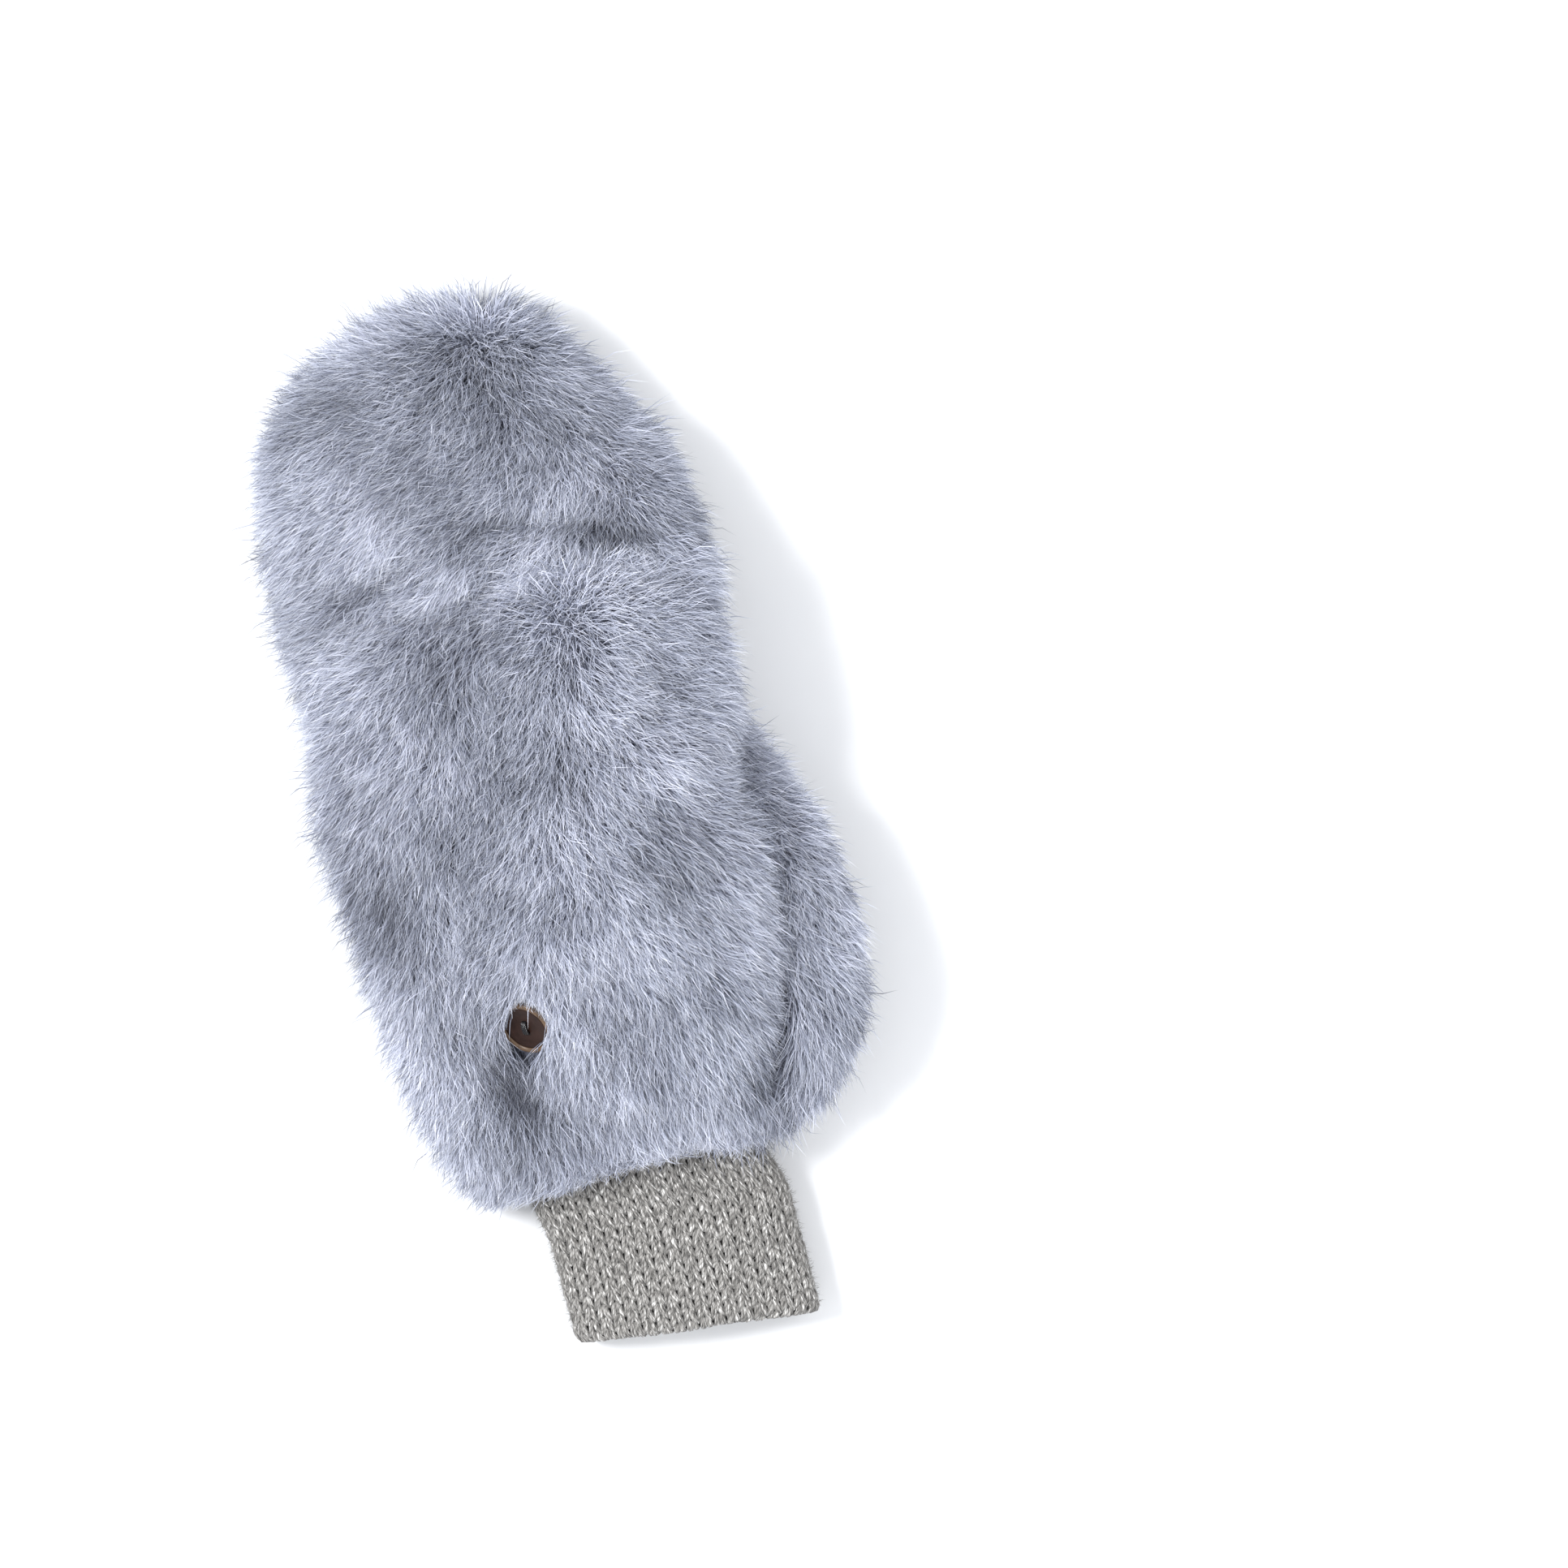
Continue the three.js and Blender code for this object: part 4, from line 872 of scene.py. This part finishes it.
def plain_material(name, colour, dark, roughness, scale, specular=0.5, coat=0.0):
    """A finish with a fine mottle between two close colours."""
    material, nodes, links, shader = new_material(name, roughness, specular)
    shader.inputs["Coat Weight"].default_value = coat
    shader.inputs["Coat Roughness"].default_value = 0.08
    place = nodes.new("ShaderNodeTexCoord")
    mottle = nodes.new("ShaderNodeTexNoise")
    mottle.inputs["Scale"].default_value = scale
    mottle.inputs["Detail"].default_value = 4
    links.new(place.outputs["Object"], mottle.inputs["Vector"])
    tones = ramp(nodes, [(0.3, dark), (0.7, colour)])
    links.new(mottle.outputs["Fac"], tones.inputs["Fac"])
    links.new(tones.outputs["Color"], shader.inputs["Base Color"])
    bump = nodes.new("ShaderNodeBump")
    bump.inputs["Strength"].default_value = 0.12
    bump.inputs["Distance"].default_value = 0.0002
    links.new(mottle.outputs["Fac"], bump.inputs["Height"])
    links.new(bump.outputs["Normal"], shader.inputs["Normal"])
    return material


pile = pile_material()
backing = backing_material()
yarn = yarn_material()
# A dark copy of the yarn for the wall under the stitches: painted shade for the hollows between
# them.
painted_shade_yarn = plain_material(
    "painted_shade_yarn", (0.11, 0.105, 0.1), (0.04, 0.038, 0.036), 0.9, 1500, 0.1
)
face_finish = plain_material(
    "dark_brown_gloss", (0.03, 0.015, 0.012), (0.018, 0.009, 0.007), 0.35, 400, 0.1, 0.04
)
rim_finish = plain_material(
    "tan_horn_rim", (0.13, 0.08, 0.045), (0.065, 0.038, 0.022), 0.35, 700, 0.3, 0.1
)
thread_finish = plain_material(
    "waxed_thread", (0.012, 0.012, 0.014), (0.004, 0.004, 0.005), 0.16, 2500, 0.7
)


def finish_piece(piece, material, slot, *nodes):
    """Gives a piece its material and its body, and hides the solids that it stands for. Its slot is
    not used.
    """
    piece.data.materials.append(material)
    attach(piece, "root")
    if nodes:
        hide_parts(*nodes)
    return piece


# The backings, just inside the roots of the pile, each a wall with its hollow.
AROUND = 96
near_tip, inner_tip = always(TIP_PLACE - 0.02), always(TIP_PLACE - BACKING - 0.02)
pile_hem = always(PILE_HEM)
cap_wall = wall(hand_point, cap_edge, near_tip, 0.4, BACKING, inner_tip, AROUND, 40)
body_wall = wall(body_point, pile_hem, body_edge, 0.4, BACKING, body_edge, AROUND, 84)
angle = np.arange(AROUND) / AROUND * TURN
share = (0.5 - 0.5 * np.cos(np.linspace(0.004, 0.996, 72) * math.pi))[:, None]
thumb_wall = (
    thumb_point(mix(THUMB_ROOT, THUMB_TIP, share), angle[None], 0.4),
    thumb_point(mix(THUMB_ROOT + BACKING, THUMB_TIP - BACKING, share), angle[None], BACKING),
)
palm_side = np.sin(angle + TURN / AROUND / 2)[None] < 0
body_hole = in_thumb_hole(body_wall[0][:-1]) & palm_side
thumb_hole = in_thumb_hole(thumb_wall[0][:-1]) & ~palm_side
for name, grids, dropped, start_closed, end_closed, node in (
    ("cap_backing", cap_wall, None, False, True, "flip_cap"),
    ("body_backing", body_wall, body_hole, False, False, "hand_body"),
    ("thumb_backing", thumb_wall, thumb_hole, True, True, "thumb"),
):
    piece = make_mesh(name, *double_wall(*grids, dropped, start_closed, end_closed))
    finish_piece(piece, backing, "fur", node)

# The pile.
# The look's mottle sets how strongly the relief's painted light and shade show on the strands.
full_look = {
    "length": 9.5, "height": 8.8, "width": 0.17, "sink": 0.5, "clump": 9.0, "tuft": 3.0,
    "stray": 0.36, "to_clump": 0.06, "to_tuft": 0.14, "side_height": 0.22, "tip_height": 0.1,
    "mottle": 1.0, "follow": 0.5, "right_cut": 0.16, "hem": False,
}
button_look = dict(full_look, keep_off=off_button, hem=True)
thumb_look = dict(full_look, side_height=0.0, right_cut=0.2)
cap_lie = lie_of(CAP_LIE, (0.1, -1, 0))
body_lie = lie_of(BODY_LIE, (0.1, -1, 0))
thumb_lie = lie_of(THUMB_LIE, (0.2, -1, 0))


def back_share(grid):
    """More strands on the back and sides than below, by height off the table."""
    return mix(0.16, 1.0, ease(11, 20, grid[..., 2]))


def rise_round(grid):
    """The sine of the angle round the form, for the columns of a grid on it."""
    return np.sin(np.arange(grid.shape[1]) / grid.shape[1] * TURN)[None]


def seen_side(low, high):
    """Strands between two places along the hand only, and none in the thumb's hole."""
    def share(grid):
        held = (grid[..., 1] >= low) & (grid[..., 1] < high)
        palm = rise_round(grid) < 0
        return back_share(grid) * (held & ~(palm & in_thumb_hole(grid)))
    return share


def thumb_share(grid):
    """Most strands on the gusset beside the hand, few on top of the thumb under the hand."""
    top = rise_round(grid) > 0.2
    beside = ease(40, 50, grid[..., 0])
    return mix(np.where(top, 0.12, 0.4), 1.0, beside) * ~(top & in_thumb_hole(grid))


def below_button(grid):
    """Strands of the wrist half of the body, none rooted under the button."""
    away = np.hypot(grid[..., 0] - button_foot[0], grid[..., 1] - button_foot[1])
    return seen_side(0, BODY_SPLIT)(grid) * ((away > BUTTON_BARE) | (grid[..., 2] < BARE_ABOVE))


plenty = 1.0
thumb_ends = always(THUMB_ROOT + 0.02), always(THUMB_TIP - 0.02)
finger_share = seen_side(BODY_SPLIT, MITTEN_LENGTH)
for name, node, form, ends, lie, count, share, look in (
    ("cap_pile", "flip_cap", hand_point, (cap_edge, near_tip), cap_lie,
     PILE_STRANDS, back_share, full_look),
    ("finger_pile", "hand_body", body_point, (pile_hem, body_edge), body_lie,
     PILE_STRANDS, finger_share, full_look),
    ("wrist_pile", "hand_body", body_point, (pile_hem, body_edge), body_lie,
     PILE_STRANDS, below_button, button_look),
    ("thumb_pile", "thumb", thumb_point, thumb_ends, thumb_lie,
     THUMB_STRANDS, thumb_share, thumb_look),
):
    piece = fur(name, form, *ends, lie, int(count * plenty), share, look)
    finish_piece(piece, pile, "fur", node)


def knit(name):
    """The knitted cuff: two plump legs for each stitch, slanting outwards as they rise, on rows
    that run down the outside, round the folded end and back up the inside."""
    samples = 720
    around = np.arange(samples + 1) / samples * TURN
    ring = cuff_point(CUFF_HEM / 2, around, 0)
    reached = np.concatenate([[0], np.cumsum(np.linalg.norm(np.diff(ring, axis=0), axis=1))])
    girth = reached[-1]
    wales = int(round(girth / STITCH_WIDTH))
    pitch = girth / wales
    fold = CUFF_WALL / 2 - 0.35

    def place(run, distance, lift):
        """A point at a distance round the cuff and a run down from its top, round the fold."""
        turn = np.interp(distance % girth, reached, around)
        end = cuff_end(turn) + fold + 0.5
        outside = CUFF_TOP - run
        bend = np.clip((end - outside) / fold, 0, math.pi)
        inside_run = np.maximum(end - outside - fold * math.pi, 0)
        y = np.where(outside > end, outside, end - fold * np.sin(bend) + inside_run)
        inset = 0.7 + fold * (1 - np.cos(bend))
        point = cuff_point(y, turn, inset)
        ahead = cuff_point(y, turn + 0.01, inset) - cuff_point(y, turn - 0.01, inset)
        out = unit(np.cross(ahead, np.broadcast_to([0.0, 1.0, 0.0], ahead.shape)) * -1.0)
        up = np.broadcast_to([0.0, 1.0, 0.0], out.shape)
        way = out * np.cos(bend)[..., None] - up * np.sin(bend)[..., None]
        return point + way * np.asarray(lift)[..., None], way

    rows = int((CUFF_TOP + fold * math.pi + KNITTED_INSIDE) / ROW_HEIGHT)
    stitch, wale, hand = np.meshgrid(np.arange(rows), np.arange(wales), [-1, 1], indexing="ij")
    stitch, wale, hand = (part.ravel()[:, None] for part in (stitch, wale, hand))
    count = len(stitch)
    steps, sides = 6, 6
    t = np.linspace(0, 1, steps)[None]
    jitter = rng.normal(0, 0.12, (count, 1))
    run = (stitch + 1.5 * (1 - t) - 0.2) * ROW_HEIGHT + jitter
    distance = (wale + 0.5) * pitch + hand * pitch * (0.05 + 0.3 * np.sin(t * math.pi * 0.62))
    lift = 0.55 * np.sin(t * math.pi) ** 0.8 - 0.25 + rng.normal(0, 0.04, (count, 1))
    centre, way = place(run, distance, lift)
    tangent = unit(np.gradient(centre, axis=1))
    side = unit(np.cross(tangent, way))
    way = np.cross(side, tangent)
    thick = YARN_RADIUS * np.array([0.5, 0.9, 1.0, 1.0, 0.85, 0.45])
    thick = thick[None] * rng.uniform(0.9, 1.1, (count, 1))
    ring_turn = np.arange(sides) / sides * TURN
    ring = (
        side[:, :, None] * np.cos(ring_turn)[None, None, :, None]
        + way[:, :, None] * 0.8 * np.sin(ring_turn)[None, None, :, None]
    )
    points = centre[:, :, None] + ring * thick[..., None, None]
    points[..., 2] = np.maximum(points[..., 2], GAP_TO_TABLE)
    base = np.arange(count)[:, None, None, None] * steps * sides
    i, j = np.arange(steps - 1)[None, :, None], np.arange(sides)[None, None]
    k = (j + 1) % sides
    corners = [i * sides + j, i * sides + k, (i + 1) * sides + k, (i + 1) * sides + j]
    quads = (base + np.stack(np.broadcast_arrays(*corners), -1)).reshape(-1, 4)
    ends = base[:, 0, 0] + np.arange(sides)[None, ::-1]
    tips = base[:, 0, 0] + (steps - 1) * sides + np.arange(sides)[None]
    cells, tiles = np.concatenate([stitch, wale, hand], 1).astype(float), 8
    u = (ring_turn / TURN + (tiles - 1) * scatter(cells, 6)[:, None, None]) / tiles
    v = (t[..., None] + (tiles - 1) * scatter(cells, 2)[:, None, None]) / tiles
    uv = np.stack(np.broadcast_arrays(u, v), -1).reshape(-1, 2)
    return make_mesh(name, points.reshape(-1, 3), [quads, ends, tips], uv)


finish_piece(knit("cuff_stitches"), yarn, "knit", "knit_cuff")
# The wall under the stitches, coloured dark as painted shade in the hollows between them.
sewn_end = always(CUFF_TOP)
cuff_wall = wall(
    cuff_point, lambda angle: cuff_end(angle) + 1.6, sewn_end,
    1.5, CUFF_WALL - 1.3, sewn_end, AROUND, 24,
)
finish_piece(make_mesh("cuff_painted_shade_ground", *double_wall(*cuff_wall)), painted_shade_yarn, "knit", "knit_cuff")


def fuzz(name, count):
    """Fine loose fibres on the cuff: points on the outside, each with a bent blade that leaves at
    a random slant."""
    turn = rng.uniform(0, TURN, count)
    y = mix(cuff_end(turn) + 1.5, CUFF_HEM, rng.uniform(0, 1, count))
    root = cuff_point(y, turn, 0.2)
    normal = slopes(cuff_point, y, turn)[2]
    way = unit(normal * 0.7 + rng.normal(0, 1, (count, 3)))
    side = unit(np.cross(way, rng.normal(0, 1, (count, 3))))
    length = rng.uniform(1.0, 2.6, (count, 1))
    bow = rng.normal(0, 0.35, (count, 1)) * side
    middle, tip = root + way * length * 0.5 + bow, root + way * length
    wide = np.cross(way, side) * 0.04
    points = np.stack([root - wide, root + wide, middle - wide, middle + wide, tip], 1)
    points[..., 2] = np.maximum(points[..., 2], GAP_TO_TABLE)
    base = np.arange(count)[:, None] * 5
    uv = np.tile([[0.1, 0.1], [0.12, 0.1], [0.1, 0.5], [0.12, 0.5], [0.11, 0.9]], (count, 1))
    return make_mesh(name, points.reshape(-1, 3), [base + [0, 1, 3, 2], base + [2, 3, 4]], uv)


finish_piece(fuzz("cuff_fuzz", 9000), yarn, "knit", "knit_cuff")


def button_frame():
    """The button's own directions: across, along and out, turned about its axis."""
    across = unit(np.cross([0.0, 1.0, 0.0], button_axis))
    along = np.cross(button_axis, across)
    c, s = math.cos(-BUTTON_TURN), math.sin(-BUTTON_TURN)
    return across * c + along * s, along * c - across * s, button_axis


def turned(profile, name, sides=72):
    """A turned solid: a closed profile of radius and height, carried round the button's axis."""
    across, along, out = button_frame()
    foot = button_foot + button_axis * CLEARANCE
    turn = np.arange(sides) / sides * TURN
    radius, height = profile[:, 0, None, None], profile[:, 1, None, None]
    ring = across * np.cos(turn)[:, None] + along * np.sin(turn)[:, None]
    points = foot + radius * ring[None] + height * out
    return make_mesh(name, points.reshape(-1, 3), [ring_faces(points)])


outer, dish = BUTTON_DIAMETER / 2, BUTTON_DIAMETER / 2 - BUTTON_RIM
top = BUTTON_THICKNESS
rim_arc = np.linspace(0, math.pi, 12)
rim_across = outer - BUTTON_RIM / 2 + BUTTON_RIM / 2 * np.cos(rim_arc)
rim_profile = np.concatenate([
    [[dish - 0.2, 0.25], [outer - 0.8, 0.0], [outer - 0.2, 0.35]],
    np.stack([rim_across, top - 0.55 + 0.55 * np.sin(rim_arc)], 1),
])
finish_piece(turned(rim_profile, "button_rim"), rim_finish, "button", "button")
slope = np.linspace(0, 1, 10)
face_height = top - 0.45 - (BUTTON_DISH - 0.45) * ease(0, 0.5, slope)
face_profile = np.stack([mix(dish + 0.15, 0.02, slope), face_height], 1)
face_profile = np.concatenate([[[0.02, 0.4], [dish + 0.15, 0.4]], face_profile])
finish_piece(turned(face_profile, "button_face"), face_finish, "button", "button")


def twisted_cord(name, path, radius, strands, twists):
    """A bundle of round strands wound about a path: each strand's middle circles the path."""
    steps, sides = len(path), 8
    tangent = unit(np.gradient(path, axis=0))
    first = unit(np.cross(tangent, button_axis + 0.01))
    second = np.cross(tangent, first)
    all_points, all_faces = [], []
    t = np.linspace(0, 1, steps)[:, None]
    for number in range(strands):
        wind = t * twists * TURN + number / strands * TURN
        middle = path + (first * np.cos(wind) + second * np.sin(wind)) * radius * 0.55
        turn = np.arange(sides) / sides * TURN
        ring = first[:, None] * np.cos(turn)[:, None] + second[:, None] * np.sin(turn)[:, None]
        points = middle[:, None] + ring * radius * 0.55
        place = np.arange(steps * sides).reshape(steps, sides) + number * steps * sides
        a, b = place[:-1], np.roll(place, -1, 1)[:-1]
        c, d = np.roll(place, -1, 1)[1:], place[1:]
        all_points.append(points.reshape(-1, 3))
        all_faces.append(np.stack([a, b, c, d], -1).reshape(-1, 4))
        all_faces.append(np.concatenate([place[:1, ::-1], place[-1:]]))
    return make_mesh(name, np.concatenate(all_points), all_faces)


across, along, out = button_frame()
reach = np.linspace(-1, 1, 28)[:, None]
bar = button_foot + out * CLEARANCE + along * reach * 1.9
dip = 1.2 * np.maximum(np.abs(reach) - 0.8, 0) * 5
bar = bar + out * (top - BUTTON_DISH + 0.6 + 0.4 * (1 - reach**2) - dip)
for number, offset in enumerate((-0.42, 0.0, 0.42)):
    cord = twisted_cord("button_thread_%d" % number, bar + across * offset, 0.36, 3, 2.5)
    finish_piece(cord, thread_finish, "thread", "button_thread")


def floor_material():
    """A plain pale table."""
    material, nodes, links, shader = new_material("pale_table", 0.9, 0.1)
    place = nodes.new("ShaderNodeTexCoord")
    grain = nodes.new("ShaderNodeTexNoise")
    grain.inputs["Scale"].default_value = 60
    links.new(place.outputs["Object"], grain.inputs["Vector"])
    tones = ramp(nodes, [(0.0, (0.75, 0.755, 0.77)), (1.0, (0.77, 0.775, 0.785))])
    links.new(grain.outputs["Fac"], tones.inputs["Fac"])
    links.new(tones.outputs["Color"], shader.inputs["Base Color"])
    return material


floor_mesh = bpy.data.meshes.new("table_top")
floor_mesh.from_pydata([(-3, -3, 0), (3, -3, 0), (3, 3, 0), (-3, 3, 0)], [], [(0, 1, 2, 3)])
floor = bpy.data.objects.new("table_top", floor_mesh)
bpy.context.scene.collection.objects.link(floor)
floor.data.materials.append(floor_material())

# Soft light from high on the left, a weaker one from the right, and an even sky.
world = bpy.data.worlds.new("even_sky")
bpy.context.scene.world = world
world.use_nodes = True
world.node_tree.nodes["Background"].inputs["Color"].default_value = (0.95, 0.97, 1.0, 1)
world.node_tree.nodes["Background"].inputs["Strength"].default_value = 1.14


def area_light(name, place, target, size, power):
    """A square lamp that faces a target."""
    data = bpy.data.lights.new(name, "AREA")
    data.size, data.energy = size, power
    lamp = bpy.data.objects.new(name, data)
    bpy.context.scene.collection.objects.link(lamp)
    lamp.location = place
    way = np.array(target, float) - np.array(place, float)
    lamp.rotation_euler = (
        math.acos(-way[2] / np.linalg.norm(way)), 0, math.atan2(way[1], way[0]) - math.pi / 2,
    )
    return lamp


area_light("key", (-0.75, 0.35, 1.25), (0, 0, 0.02), 0.36, 23)
area_light("fill", (0.9, -0.3, 1.3), (0, 0, 0.02), 1.2, 9)

# The camera looks straight down over the middle of the picture, turned as the photograph is.
CAMERA_OVER = np.array([60.1, 135.2, 23.0])
CAMERA_UP = math.atan2(0.2538, 0.9673)
FRAME_WIDTH = 415.4
LENS, SENSOR = 190, 36
camera_data = bpy.data.cameras.new("camera")
camera_data.sensor_width = SENSOR
camera_data.lens = LENS
camera = bpy.data.objects.new("camera", camera_data)
bpy.context.scene.collection.objects.link(camera)
middle = (CAMERA_OVER + SHIFT) / 1000
camera.location = (middle[0], middle[1], middle[2] + FRAME_WIDTH / 1000 * LENS / SENSOR)
camera.rotation_euler = (0, 0, -CAMERA_UP)
bpy.context.scene.camera = camera
bpy.context.scene.view_settings.view_transform = "Standard"
